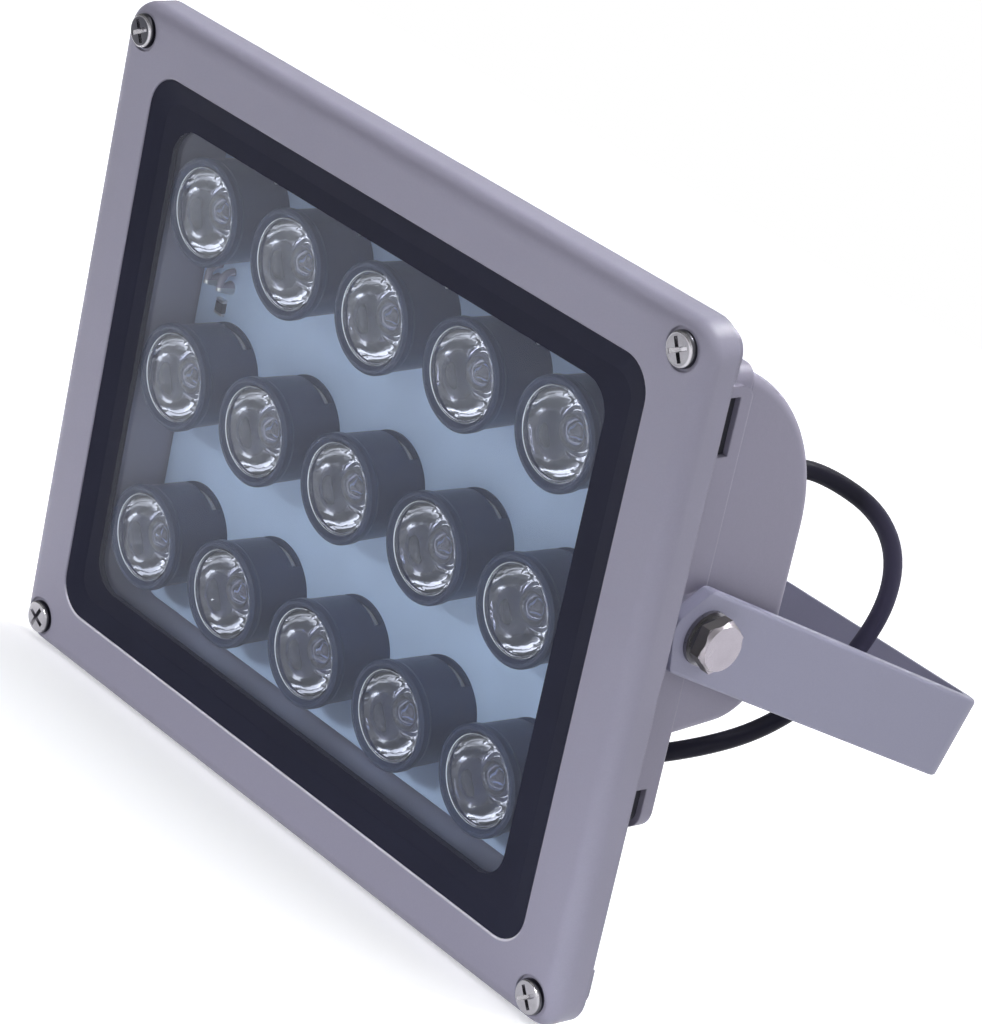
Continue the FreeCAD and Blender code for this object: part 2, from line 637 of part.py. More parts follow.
def cover_seal():
    """Rubber ring just inside the cover's wall, on the body's flange."""
    inset = COVER_WALL + COVER_SEAL_PLAY
    outer = cover_block(inset, FLANGE_BACK)
    ring = outer.cut(cover_block(inset + COVER_SEAL, FLANGE_BACK - 0.001))
    slice_box = Part.makeBox(4 * BEZEL_WIDTH, COVER_SEAL, 4 * BEZEL_HEIGHT,
                             Vector(-2 * BEZEL_WIDTH, FLANGE_BACK, -2 * BEZEL_HEIGHT))
    ring = ring.common(slice_box)
    for side in both_sides(cross_rod(PIVOT_BOSS_R + BOSS_PLAY, TRAY_HALF_X, BOSS_FACE + 1, PIVOT_Y, PIVOT_Z)):
        ring = ring.cut(side)
    return ring


def cover_screws():
    return [back_screw(COVER_SCREW_HEAD_R, COVER_SCREW_HEAD_H, COVER_SCREW_R, COVER_SCREW_LENGTH,
                       SCREW_SEAT, x, z) for x, z in cover_screw_places()]


# Emitter board, lens holders and lenses

def lens_places():
    places = []
    for row in range(ROWS):
        for column in range(COLUMNS):
            x = ARRAY_X + (column - (COLUMNS - 1) / 2) * COLUMN_PITCH
            z = ARRAY_Z + ((ROWS - 1) / 2 - row) * ROW_PITCH
            places.append((row + 1, column + 1, x, z))
    return places


def board_screw_places():
    return [(ARRAY_X + side * BOARD_SCREW_COLUMNS * COLUMN_PITCH, ARRAY_Z + row * ROW_PITCH)
            for side in (-1, 1) for row in (-1, 0, 1)]


def led_board():
    board = slab(2 * (TRAY_HALF_X - BOARD_MARGIN), 2 * (TRAY_HALF_Z - BOARD_MARGIN), BOARD_R,
                 BOARD_FRONT, BOARD_BACK)
    for x, z in board_screw_places():
        board = board.cut(rod(BOARD_SCREW_R + SCREW_CLEARANCE, BOARD_FRONT - 1, BOARD_BACK + 1, x, z))
    for side in (-1, 1):
        board = board.cut(rod(LEAD_R + 0.1, BOARD_FRONT - 1, BOARD_BACK + 1,
                              LEAD_X + side * LEAD_SPACING / 2, LEAD_Z))
    return board


def board_screws():
    """The same short screws hold the emitter board and, from the back, the driver board."""
    sizes = (BOARD_SCREW_HEAD_R, BOARD_SCREW_HEAD_H, BOARD_SCREW_R, BOARD_SCREW_LENGTH)
    fronts = [front_screw(*sizes, BOARD_FRONT, x, z) for x, z in board_screw_places()]
    return fronts + [back_screw(*sizes, DRIVER_BACK, x, z) for x, z in driver_screw_places()]


def led_emitters():
    emitters = []
    for row, column, x, z in lens_places():
        base = slab(EMITTER_SIZE, EMITTER_SIZE, 0.6, BOARD_FRONT - EMITTER_BASE, BOARD_FRONT, x, z)
        dome = Part.makeSphere(EMITTER_DOME_R, Vector(x, BOARD_FRONT - EMITTER_BASE, z))
        keep = Part.makeBox(10, 10, 10, Vector(x - 5, BOARD_FRONT - EMITTER_BASE - 10 + 0.01, z - 5))
        emitters.append(base.fuse(dome.common(keep)).removeSplitter())
    return emitters


def lens_holder(x, z):
    """A black cup: a wide bevelled rim at the mouth, a notched foot on the board."""
    front = HOLDER_FRONT
    back = BOARD_FRONT
    bore = HOLDER_BORE_R
    edge = HOLDER_RIM_EDGE
    seat = front + HOLDER_MOUTH_DEPTH
    cup = turned([(HOLDER_MOUTH_R, front), (HOLDER_RIM_R - edge, front), (HOLDER_RIM_R, front + edge),
                  (HOLDER_RIM_R, front + HOLDER_RIM_LENGTH),
                  (HOLDER_R, front + HOLDER_RIM_LENGTH + HOLDER_RIM_NECK), (HOLDER_FOOT_R, back),
                  (bore, back), (bore, seat + LENS_FLANGE), (bore + LENS_LEDGE, seat + LENS_FLANGE),
                  (bore + LENS_LEDGE, seat)], x, z)
    return cup.cut(notch_window(x, z, 90)).cut(notch_window(x, z, -90))


def notch_window(x, z, heading):
    """A slot through the cup's wall just above its foot."""
    low = BOARD_FRONT - NOTCH_FOOT - NOTCH_HEIGHT
    reach = (HOLDER_R + 2) / math.cos(math.radians(NOTCH_HALF_ANGLE))
    points = [Vector(x, low, z)]
    for side in (-1, 1):
        angle = math.radians(heading + side * NOTCH_HALF_ANGLE)
        points.append(Vector(x + reach * math.cos(angle), low, z + reach * math.sin(angle)))
    return Part.Face(Part.makePolygon(points + [points[0]])).extrude(Vector(0, NOTCH_HEIGHT, 0))


def lens(x, z):
    """A clear collimator: a flanged face with a well and a dome in it, and a tapering body."""
    front = HOLDER_FRONT + HOLDER_MOUTH_DEPTH
    wide = HOLDER_BORE_R + LENS_LEDGE - LENS_PLAY
    waist = HOLDER_BORE_R - LENS_PLAY
    tail = front + LENS_LENGTH
    body = LENS_LENGTH - LENS_FLANGE
    cup = tail - LENS_CUP_DEPTH
    profile = [(LENS_WELL_R, front), (wide, front), (wide, front + LENS_FLANGE), (waist, front + LENS_FLANGE),
               (waist * 0.96, tail - body * 0.83), (waist * 0.86, tail - body * 0.63),
               (waist * 0.7, tail - body * 0.36), (LENS_TAIL_R, tail), (LENS_CUP_R, tail),
               (LENS_CUP_R * 0.93, cup), (LENS_CUP_R * 0.5, cup - 0.6), (0, cup - 0.8),
               (0, front + LENS_WELL_DEPTH * 0.35), (LENS_WELL_R * 0.45, front + LENS_WELL_DEPTH * 0.5),
               (LENS_WELL_R * 0.8, front + LENS_WELL_DEPTH)]
    return turned(profile, x, z)


def board_resistor():
    top = BOARD_FRONT - RESISTOR_THICK
    chip = slab(RESISTOR_WIDTH, RESISTOR_LENGTH, 0, top, BOARD_FRONT, RESISTOR_X, RESISTOR_Z)
    return chip.makeChamfer(0.15, edges_at(chip, top))


def board_leads():
    """Two short wires that come up through the board and bend down to their solder pads."""
    leads = []
    rise = BOARD_FRONT - LEAD_RISE
    middle = math.sin(math.pi / 4)
    for side in (-1, 1):
        x = LEAD_X + side * LEAD_SPACING / 2
        start = Vector(x, DRIVER_FRONT, LEAD_Z)
        knee = Vector(x, rise + LEAD_BEND, LEAD_Z)
        half_way = Vector(x, rise + LEAD_BEND * (1 - middle), LEAD_Z - LEAD_BEND * (1 - middle))
        over = Vector(x, rise, LEAD_Z - LEAD_BEND)
        pad = over - Vector(0, 0, LEAD_END)
        path = Part.Wire([Part.LineSegment(start, knee).toShape(),
                          Part.Arc(knee, half_way, over).toShape(),
                          Part.LineSegment(over, pad).toShape()])
        wire = sweep(path, LEAD_R, start, Vector(0, -1, 0))
        foot = Vector(x, BOARD_FRONT, pad.z + LEAD_END / 4)
        joint = Part.makeCone(SOLDER_R, LEAD_R, BOARD_FRONT - rise, foot, Vector(0, -1, 0))
        leads.append(wire.fuse(joint).removeSplitter())
    return leads


def sweep(path, radius, start, heading):
    circle = Part.Wire(Part.Circle(start, heading, radius).toShape())
    return path.makePipeShell([circle], True, True)


# Driver

def driver_screw_places():
    reach_x = DRIVER_WIDTH / 2 - DRIVER_SCREW_INSET
    reach_z = DRIVER_HEIGHT / 2 - DRIVER_SCREW_INSET
    return [(DRIVER_X + x, DRIVER_Z + z) for x, z in corners(reach_x, reach_z)]


def driver_board():
    board = slab(DRIVER_WIDTH, DRIVER_HEIGHT, 2.0, DRIVER_FRONT, DRIVER_BACK, DRIVER_X, DRIVER_Z)
    for x, z in driver_screw_places():
        board = board.cut(rod(BOARD_SCREW_R + SCREW_CLEARANCE, DRIVER_FRONT - 1, DRIVER_BACK + 1, x, z))
    return board


def driver_coil():
    """A wound choke on its bobbin."""
    x = DRIVER_X + CHOKE_X
    end = DRIVER_BACK + CHOKE_HEIGHT
    lower = slab(CHOKE_WIDTH, CHOKE_WIDTH, CHOKE_FLANGE, DRIVER_BACK, DRIVER_BACK + CHOKE_FLANGE, x, DRIVER_Z)
    upper = slab(CHOKE_WIDTH, CHOKE_WIDTH, CHOKE_FLANGE, end - CHOKE_FLANGE, end, x, DRIVER_Z)
    drum = rod(CHOKE_WIDTH * 0.42, DRIVER_BACK, end, x, DRIVER_Z)
    return fuse([lower, upper, drum])


def driver_capacitors():
    cans = []
    end = DRIVER_BACK + CAPACITOR_LENGTH
    for side in (-1, 1):
        z = DRIVER_Z + side * CAPACITOR_SPREAD / 2
        can = rod(CAPACITOR_R, DRIVER_BACK, end, DRIVER_X + CAPACITOR_X, z)
        cans.append(can.makeFillet(CAPACITOR_R * 0.16, edges_at(can, end)))
    return cans


# Cable gland

def gland_body():
    thread = rod(GLAND_HOLE_R - THREAD_PLAY, COVER_BACK - GLAND_INSIDE, COVER_BACK + 1, GLAND_X, GLAND_Z)
    collar = y_hexagon(GLAND_HEX, COVER_BACK, COVER_BACK + GLAND_HEX_H)
    bore = rod(CORD_R + 0.3, COVER_BACK - GLAND_INSIDE - 1, COVER_BACK + GLAND_HEX_H + 1, GLAND_X, GLAND_Z)
    return fuse([thread, collar]).cut(bore)


def y_hexagon(flats, front, back):
    corner = flats / math.sqrt(3)
    points = []
    for i in range(7):
        angle = math.radians(60 * i)
        points.append(Vector(GLAND_X + corner * math.cos(angle), front, GLAND_Z + corner * math.sin(angle)))
    return Part.Face(Part.makePolygon(points)).extrude(Vector(0, back - front, 0))


def gland_cap():
    front = COVER_BACK + GLAND_HEX_H
    end = front + GLAND_CAP_H
    bore = CORD_R + 0.05
    return turned([(bore, front), (GLAND_CAP_R, front), (GLAND_CAP_R, front + GLAND_CAP_H * 0.55),
                   (GLAND_CAP_R * 0.9, front + GLAND_CAP_H * 0.75), (GLAND_MOUTH_R, end), (bore, end)],
                  GLAND_X, GLAND_Z)


def gland_nut():
    seat = COVER_INNER_BACK - GLAND_SEAT
    front = seat - GLAND_NUT_H
    nut = y_hexagon(GLAND_NUT_HEX, front, seat)
    return nut.cut(rod(GLAND_HOLE_R, front - 1, seat + 1, GLAND_X, GLAND_Z))


# Supply lead

def cord_radii(points):
    """The radius of each rounded corner of the route: as large as its two runs allow."""
    radii = []
    for before, corner, after in zip(points, points[1:], points[2:]):
        into = (corner - before)
        away = (after - corner)
        turn = into.getAngle(away)
        radii.append(0.45 * min(into.Length, away.Length) / math.tan(turn / 2))
    return radii


def cord_path(points):
    """Straight runs joined by tangent arcs."""
    edges = []
    here = points[0]
    for before, corner, after, radius in zip(points, points[1:], points[2:], cord_radii(points)):
        into = (corner - before).normalize()
        away = (after - corner).normalize()
        turn = into.getAngle(away)
        setback = radius * math.tan(turn / 2)
        start = corner - into * setback
        end = corner + away * setback
        inward = (away - into).normalize()
        middle = corner + inward * (radius / math.cos(turn / 2) - radius)
        edges.append(Part.LineSegment(here, start).toShape())
        edges.append(Part.Arc(start, middle, end).toShape())
        here = end
    edges.append(Part.LineSegment(here, points[-1]).toShape())
    return Part.Wire(edges)


def winding_start():
    return Vector(WINDING_X, WINDING_Y - WINDING_TURNS * WINDING_PITCH / 2, WINDING_Z - WINDING_R)


def supply_cord():
    exit_point = Vector(GLAND_X, COVER_BACK + GLAND_HEX_H + GLAND_CAP_H, GLAND_Z)
    points = [exit_point] + [Vector(*p) for p in CORD_POINTS] + [winding_start()]
    radii = cord_radii(points)
    print("cord radii:", ", ".join("%.1f" % r for r in radii))
    path = cord_path(points)
    tube = sweep(path, CORD_R, points[0], points[1] - points[0])
    expected = math.pi * CORD_R ** 2 * path.Length
    print("cord run %.1f mm, volume ratio %.4f" % (path.Length, tube.Volume / expected))
    return tube


def cord_coil():
    """The outer shape of the put-away turns, side by side and tied."""
    half = WINDING_TURNS * WINDING_PITCH / 2 + CORD_R
    outer = rod(WINDING_R + CORD_R, WINDING_Y - half, WINDING_Y + half, WINDING_X, WINDING_Z)
    ends = edges_at(outer, WINDING_Y - half) + edges_at(outer, WINDING_Y + half)
    outer = outer.makeFillet(CORD_R * 0.8, ends)
    inside = rod(WINDING_R - CORD_R, WINDING_Y - half - 1, WINDING_Y + half + 1, WINDING_X, WINDING_Z)
    coil = outer.cut(inside)
    print("cord in the coil %.1f mm" % (WINDING_TURNS * 2 * math.pi * WINDING_R))
    return coil


def coil_tie():
    """A strap round the turns."""
    half = WINDING_TURNS * WINDING_PITCH / 2 + CORD_R
    x = WINDING_X - WINDING_R
    gap = 0.15
    inner_r = CORD_R + gap
    outer_r = inner_r + TIE_THICK
    outer = Part.makeBox(2 * outer_r, 2 * (half + gap + TIE_THICK), TIE_WIDTH,
                         Vector(x - outer_r, WINDING_Y - half - gap - TIE_THICK, WINDING_Z - TIE_WIDTH / 2))
    inner = Part.makeBox(2 * inner_r, 2 * (half + gap), TIE_WIDTH + 2,
                         Vector(x - inner_r, WINDING_Y - half - gap, WINDING_Z - TIE_WIDTH / 2 - 1))
    long_edges = [e for e in outer.Edges if abs(e.BoundBox.ZMax - e.BoundBox.ZMin) > TIE_WIDTH - 0.1]
    return outer.makeFillet(0.8, long_edges).cut(inner)


def tail_start():
    return Vector(WINDING_X, WINDING_Y + WINDING_TURNS * WINDING_PITCH / 2, WINDING_Z + WINDING_R)


def cord_tail():
    """The short end that leaves the top of the coil for the socket."""
    start = tail_start()
    return Part.makeCylinder(CORD_R, TAIL_LENGTH, start, UNIT_X)


def power_socket():
    """A round low-voltage socket with a tapered strain relief, in line with the lead's end."""
    profile = [(0, 0), (CORD_R + 0.5, 0), (CORD_R + 1.6, SOCKET_RELIEF), (SOCKET_R - 0.5, SOCKET_RELIEF),
               (SOCKET_R, SOCKET_RELIEF + 0.8), (SOCKET_R, SOCKET_RELIEF + SOCKET_LENGTH - 0.6),
               (SOCKET_R - 0.6, SOCKET_RELIEF + SOCKET_LENGTH), (0, SOCKET_RELIEF + SOCKET_LENGTH)]
    body = turned(profile)
    mouth = SOCKET_RELIEF + SOCKET_LENGTH
    body = body.cut(rod(SOCKET_BORE_R, mouth - SOCKET_BORE_DEPTH, mouth + 1, 0, 0))
    body = body.fuse(rod(SOCKET_PIN_R, mouth - SOCKET_BORE_DEPTH - 1, mouth - 0.8, 0, 0)).removeSplitter()
    body.rotate(Vector(0, 0, 0), UNIT_Z, -90)
    body.translate(tail_start() + Vector(TAIL_LENGTH, 0, 0))
    return body


# Bracket and pivot hardware

def mount_bracket():
    """One strap bent to a U, in the row frame: its back is on the wall."""
    half = ARM_HALF_WIDTH
    inner = half - STRAP_THICK
    outer_r = STRAP_BEND_R + STRAP_THICK
    tip = -ARM_REACH - ARM_NOSE
    side = arm_outline(tip)
    outer = band_xy(-half, half, tip, 0.0, outer_r)
    rims = [e for e in outer.Edges if e.BoundBox.ZMax - e.BoundBox.ZMin < 0.01 and e.BoundBox.YMax > tip + 1]
    outer = outer.makeFillet(STRAP_EDGE_R, rims)
    hollow = band_xy(-inner, inner, tip - 20, -STRAP_THICK, STRAP_BEND_R)
    strap = outer.cut(hollow)
    strap = strap.common(side)
    bolt_hole = Part.makeCylinder(BOLT_R + BOLT_PLAY, 4 * half, Vector(-2 * half, -ARM_REACH, 0), UNIT_X)
    strap = strap.cut(bolt_hole)
    for x in (-WALL_HOLE_SPACING / 2, WALL_HOLE_SPACING / 2):
        strap = strap.cut(rod(WALL_HOLE_R, -STRAP_THICK - 1, 1, x, 0))
    return strap.cut(rod(CENTRE_HOLE_R, -STRAP_THICK - 1, 1, 0, 0))


def band_xy(left, right, front, back, radius):
    """A block as wide as the strap, with its two back corners rounded."""
    box = Part.makeBox(right - left, back - front, STRAP_WIDTH, Vector(left, front, -STRAP_WIDTH / 2))
    upright = [e for e in box.Edges if abs(e.BoundBox.ZMax - e.BoundBox.ZMin) > STRAP_WIDTH - 0.1
               and abs(e.BoundBox.YMax - back) < 0.01]
    return box.makeFillet(radius, upright)


def arm_outline(tip):
    """Side view of the arms: straight edges and a cropped nose."""
    half = STRAP_WIDTH / 2
    flat = ARM_NOSE_FLAT / 2
    shoulder = tip + ARM_CHAMFER
    outline = [(1.0, -half), (1.0, half), (shoulder, half), (tip, flat), (tip, -flat), (shoulder, -half)]
    points = [Vector(-2 * ARM_HALF_WIDTH, y, z) for y, z in outline]
    block = Part.Face(Part.makePolygon(points + [points[0]])).extrude(Vector(4 * ARM_HALF_WIDTH, 0, 0))
    nose = [e for e in block.Edges if e.BoundBox.XMax - e.BoundBox.XMin > ARM_HALF_WIDTH
            and e.BoundBox.YMax < shoulder + 0.1]
    return block.makeFillet(ARM_CORNER_R, nose)


def pivot_bolts():
    bolts = []
    under_head = ARM_HALF_WIDTH + SIDE_PLAY + FLAT_WASHER_T + SPRING_WASHER_T
    head = hexagon(BOLT_HEAD_FLATS, under_head, under_head + BOLT_HEAD_H, PIVOT_Y, PIVOT_Z)
    crown = Part.makeCone(BOLT_HEAD_FLATS * 0.66, BOLT_HEAD_FLATS * 0.47, BOLT_HEAD_H,
                          Vector(under_head, PIVOT_Y, PIVOT_Z), UNIT_X)
    below_crown = BOLT_HEAD_H * 0.72
    rounding = Part.makeCylinder(BOLT_HEAD_FLATS, below_crown, Vector(under_head, PIVOT_Y, PIVOT_Z), UNIT_X)
    head = head.common(rounding.fuse(crown))
    shank = cross_rod(BOLT_R, ARM_HALF_WIDTH - BOLT_LENGTH, under_head + 0.5, PIVOT_Y, PIVOT_Z)
    bolts.append(fuse([head, shank]))
    bolts.append(mirrored(bolts[0]))
    return bolts


def flat_washers():
    start = ARM_HALF_WIDTH + SIDE_PLAY
    washer = cross_rod(FLAT_WASHER_R, start, start + FLAT_WASHER_T, PIVOT_Y, PIVOT_Z)
    washer = washer.cut(cross_rod(BOLT_R + BOLT_PLAY, start - 1, start + 5, PIVOT_Y, PIVOT_Z))
    return both_sides(washer)


def spring_washers():
    start = ARM_HALF_WIDTH + SIDE_PLAY + FLAT_WASHER_T
    washer = cross_rod(SPRING_WASHER_R, start, start + SPRING_WASHER_T, PIVOT_Y, PIVOT_Z)
    washer = washer.cut(cross_rod(BOLT_R + BOLT_PLAY, start - 1, start + 5, PIVOT_Y, PIVOT_Z))
    split = Part.makeBox(6, SPRING_WASHER_GAP, 2 * SPRING_WASHER_R,
                         Vector(start - 2, PIVOT_Y - SPRING_WASHER_GAP / 2, PIVOT_Z))
    split.rotate(Vector(start, PIVOT_Y, PIVOT_Z), UNIT_X, -60)
    return both_sides(washer.cut(split))


# Assembly

def swung(shape):
    """Carries a shape from the head's own frame to the row frame."""
    about = Vector(0, PIVOT_Y, PIVOT_Z)
    turn = Placement(Vector(0, 0, 0), Rotation(UNIT_X, HEAD_TILT), about)
    shift = Placement(Vector(0, -ARM_REACH - PIVOT_Y, -PIVOT_Z), Rotation())
    moved = shape.copy()
    moved.transformShape((shift * turn).toMatrix(), True)
    return moved


def compound(shapes):
    if isinstance(shapes, list):
        return shapes[0] if len(shapes) == 1 else Part.makeCompound(shapes)
    return shapes


def head_nodes():
    nodes = {
        "bezel_frame": bezel_frame(),
        "bezel_screws": bezel_screws(),
        "glass_pane": glass_pane(),
        "glass_border": glass_border(),
        "glass_seal": glass_seal(),
        "glass_bead": glass_bead(),
        "rim_seal": rim_seal(),
        "housing_body": housing_body(),
        "rear_cover": rear_cover(),
        "cover_seal": cover_seal(),
        "cover_screws": cover_screws(),
        "led_board": led_board(),
        "board_screws": board_screws(),
        "led_emitters": led_emitters(),
        "board_resistor": board_resistor(),
        "board_leads": board_leads(),
        "driver_board": driver_board(),
        "driver_coil": driver_coil(),
        "driver_capacitors": driver_capacitors(),
        "gland_body": gland_body(),
        "gland_cap": gland_cap(),
        "gland_nut": gland_nut(),
        "supply_cord": [supply_cord(), cord_tail()],
        "cord_coil": cord_coil(),
        "coil_tie": coil_tie(),
        "power_socket": power_socket(),
        "pivot_bolts": pivot_bolts(),
        "spring_washers": spring_washers(),
        "flat_washers": flat_washers(),
    }
    for row, column, x, z in lens_places():
        nodes["lens_holder_%d_%d" % (row, column)] = lens_holder(x, z)
        nodes["lens_%d_%d" % (row, column)] = lens(x, z)
    return nodes


def main():
    os.makedirs("parts", exist_ok=True)
    nodes = {name: swung(compound(shape)) for name, shape in head_nodes().items()}
    nodes["mount_bracket"] = mount_bracket()
    for name, shape in sorted(nodes.items()):
        if not shape.isValid():
            print("not valid:", name)
        shape.exportStep("parts/%s.step" % name)
    print(len(nodes), "nodes,", sum(len(s.Solids) for s in nodes.values()), "solids")


main()
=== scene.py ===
import math

import bpy
from mathutils import Matrix, Vector


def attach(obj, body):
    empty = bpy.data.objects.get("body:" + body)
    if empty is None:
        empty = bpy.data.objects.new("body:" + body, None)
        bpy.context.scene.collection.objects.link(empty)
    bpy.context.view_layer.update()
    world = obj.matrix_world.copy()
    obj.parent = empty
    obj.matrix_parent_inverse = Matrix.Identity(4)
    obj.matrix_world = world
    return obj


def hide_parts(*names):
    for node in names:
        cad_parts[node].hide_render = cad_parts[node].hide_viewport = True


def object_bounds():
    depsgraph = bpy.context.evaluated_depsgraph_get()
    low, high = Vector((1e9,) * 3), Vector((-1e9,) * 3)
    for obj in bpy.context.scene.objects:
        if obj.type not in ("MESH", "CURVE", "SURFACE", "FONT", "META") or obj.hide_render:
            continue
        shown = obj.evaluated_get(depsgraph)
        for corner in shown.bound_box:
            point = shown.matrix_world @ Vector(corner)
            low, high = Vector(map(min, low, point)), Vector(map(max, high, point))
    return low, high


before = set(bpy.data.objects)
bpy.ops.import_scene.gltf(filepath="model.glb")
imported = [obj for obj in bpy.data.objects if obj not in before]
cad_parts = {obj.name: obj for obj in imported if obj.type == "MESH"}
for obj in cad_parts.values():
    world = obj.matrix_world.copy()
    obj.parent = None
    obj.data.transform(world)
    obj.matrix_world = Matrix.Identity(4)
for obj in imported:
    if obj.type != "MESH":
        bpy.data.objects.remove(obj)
cad_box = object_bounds()

# The lamp head is laid out square in its own frame, in metres: x right, y backwards from the
# bezel's face, z up. It is then swung about the pivot bolts.
PIVOT = Vector((0.0, 0.021, 0.0085))
ARM_REACH = 0.093
HEAD_TILT = math.radians(23.0)
HEAD = (Matrix.Translation((0, -ARM_REACH, 0)) @ Matrix.Rotation(HEAD_TILT, 4, "X")
        @ Matrix.Translation(-PIVOT))

# Lens cups, and the small pieces on the board
COLUMN_PITCH = 0.029
ROW_PITCH = 0.0377
ARRAY_X = -0.0025
HOLDER_COLUMNS = [ARRAY_X + COLUMN_PITCH * step for step in (-2, -1, 0, 1, 2)]
HOLDER_ROWS = [ROW_PITCH, 0.0, -ROW_PITCH]
EMITTER_DOME_FOOT = 0.0184
RESISTOR_Z = 0.0130
RESISTOR_BODY_REACH = 0.00115
LEAD_BARED_BELOW = 0.0184
TRACE_HALF_WIDTH = 0.0016
CUP_RIM_EDGE = (0.0056, 0.0060)

# Bezel screws and the bezel's opening
SCREW_X, SCREW_Z = 0.0866, 0.0688
SCREW_FACE = -0.0012
SCREW_FLAT = (0.00300, 0.00325)
SCREW_FLAT_DEPTH = 0.0002
SCREW_SIDE = (SCREW_FACE + 0.00035, SCREW_FACE + 0.0006)
SCREW_SIDE_FROM = 0.0031
# How the painted dark reflection on the bezel screws' faces slants and spans
SCREW_SHADE_SLANT = 0.35
SCREW_SHADE_SPAN = (-0.040, 0.095)
OPENING_REACH = (0.08025, 0.0625)
OPENING_CORNER = 0.0075
# Band and foot of the painted highlight on the opening's lower edge
OPENING_HIGHLIGHT_BAND = (0.00015, 0.00055)
OPENING_HIGHLIGHT_FOOT = (-0.0600, -0.0575)

# Cable gland, and the part of the lead's bend that carries a painted highlight
GLAND_X, GLAND_Z = 0.058, 0.025
BEND_HIGHLIGHT_SPAN = (0.0830, 0.0965)


def in_head(x, y, z):
    return HEAD @ Vector((x, y, z))


def everything_deselected():
    if bpy.context.mode != "OBJECT":
        bpy.ops.object.mode_set(mode="OBJECT")
    bpy.ops.object.select_all(action="DESELECT")


# Camera, at the photograph's angle: its axes and its place are in the head's frame

CAMERA_RIGHT = Vector((0.6240085, 0.7557313, 0.1987048))
CAMERA_DOWN = Vector((0.4127001, -0.1028026, -0.9050471))
CAMERA_AHEAD = Vector((-0.6635451, 0.6467626, -0.3760401))
CAMERA_PLACE = (0.5896966, -0.5291462, 0.3253614)
SENSOR_WIDTH = 36.0
FOCAL_LENGTH = 154.55


def photo_camera():
    turn = Matrix((CAMERA_RIGHT, -CAMERA_DOWN, -CAMERA_AHEAD)).transposed().to_4x4()
    data = bpy.data.cameras.new("photo_camera")
    camera = bpy.data.objects.new("photo_camera", data)
    bpy.context.scene.collection.objects.link(camera)
    camera.matrix_world = HEAD @ Matrix.Translation(CAMERA_PLACE) @ turn
    data.sensor_fit = "HORIZONTAL"
    data.sensor_width = SENSOR_WIDTH
    data.lens = FOCAL_LENGTH
    data.clip_start = 0.01
    data.clip_end = 50.0
    bpy.context.scene.camera = camera


photo_camera()

# Supply lead: out of the gland, down behind the bracket, into its coil and the socket

LEAD_RADIUS = 0.002
LEAD_EXIT = (0.0580, 0.0597, 0.0250)
LEAD_ROUTE = [
    (0.0584, 0.0694, 0.0256),
    (0.0611, 0.0784, 0.0231),
    (0.0668, 0.0879, 0.0174),
    (0.0691, 0.0945, 0.0079),
    (0.0683, 0.0970, -0.0045),
    (0.0654, 0.0945, -0.0174),
    (0.0631, 0.0870, -0.0279),
    (0.0610, 0.0759, -0.0347),
    (0.0581, 0.0633, -0.0381),
    (0.0498, 0.0527, -0.0429),
    (0.0375, 0.0468, -0.0517),
    (0.0235, 0.0430, -0.0605),
    (0.0080, 0.0412, -0.0640),
]
COIL_CENTRE = (-0.008, -0.042)
COIL_FRONT = 0.040875
COIL_RADIUS = 0.022
COIL_TURNS = 2.5
COIL_PITCH = 0.0041
POINTS_PER_TURN = 16
INSIDE_POINTS = 0.981  # the coil's curve runs at this part of its control points' radius
TAIL = 0.014
TAIL_PARTS = (0.5, 1.2)  # the last points, the second one inside the socket


def supply_lead():
    points = [in_head(*LEAD_EXIT)] + [in_head(*p) for p in LEAD_ROUTE]
    across, up = COIL_CENTRE
    reach = COIL_RADIUS / INSIDE_POINTS
    for step in range(int(COIL_TURNS * POINTS_PER_TURN) + 1):
        turned = step / POINTS_PER_TURN
        angle = -math.pi / 2 - 2 * math.pi * turned
        points.append(in_head(across + reach * math.cos(angle), COIL_FRONT + COIL_PITCH * turned,
                              up + reach * math.sin(angle)))
    back = COIL_FRONT + COIL_PITCH * COIL_TURNS
    points += [in_head(across + TAIL * part, back, up + COIL_RADIUS) for part in TAIL_PARTS]
    data = bpy.data.curves.new("supply_lead", "CURVE")
    data.dimensions = "3D"
    line = data.splines.new("NURBS")
    line.points.add(len(points) - 1)
    for knot, place in zip(line.points, points):
        knot.co = (*place, 1.0)
        knot.radius = LEAD_RADIUS  # in metres, since the bevel's own depth is 1
    line.order_u = 3
    line.use_endpoint_u = True
    line.resolution_u = 6
    data.bevel_depth = 1.0
    data.bevel_resolution = 6
    data.use_fill_caps = True
    lead = bpy.data.objects.new("supply_lead", data)
    bpy.context.scene.collection.objects.link(lead)
    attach(lead, "lamp_head")
    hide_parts("supply_cord", "cord_coil")
    return lead


lead = supply_lead()

# Shared finishes

NOISE_SPAN = (0.3, 0.7)  # where nearly all of a noise's values lie
MARKS_TURN = (0.4, 0.2, 0.9)
MARKS_STRETCH = (400.0, 5200.0, 5200.0)
EDGE_SAMPLES = 2
SHADOW_PASS = 0.96  # the part of the light that a pane or lens lets through to what is behind it
METAL_SHINE = 0.5
COAT_SHINE = 0.3


def shared_group(name, inputs, outputs):
    group = bpy.data.node_groups.new(name, "ShaderNodeTree")
    for label, kind, start in inputs:
        socket = group.interface.new_socket(label, in_out="INPUT", socket_type=kind)
        socket.default_value = start
    for label, kind in outputs:
        group.interface.new_socket(label, in_out="OUTPUT", socket_type=kind)
    into = group.nodes.new("NodeGroupInput")
    out = group.nodes.new("NodeGroupOutput")
    return group, into.outputs, out.inputs


def noise(tree, place, scale, detail=3.0, roughness=0.5):
    node = tree.nodes.new("ShaderNodeTexNoise")
    node.inputs["Scale"].default_value = scale
    node.inputs["Detail"].default_value = detail
    node.inputs["Roughness"].default_value = roughness
    tree.links.new(place, node.inputs["Vector"])
    return node.outputs["Fac"]


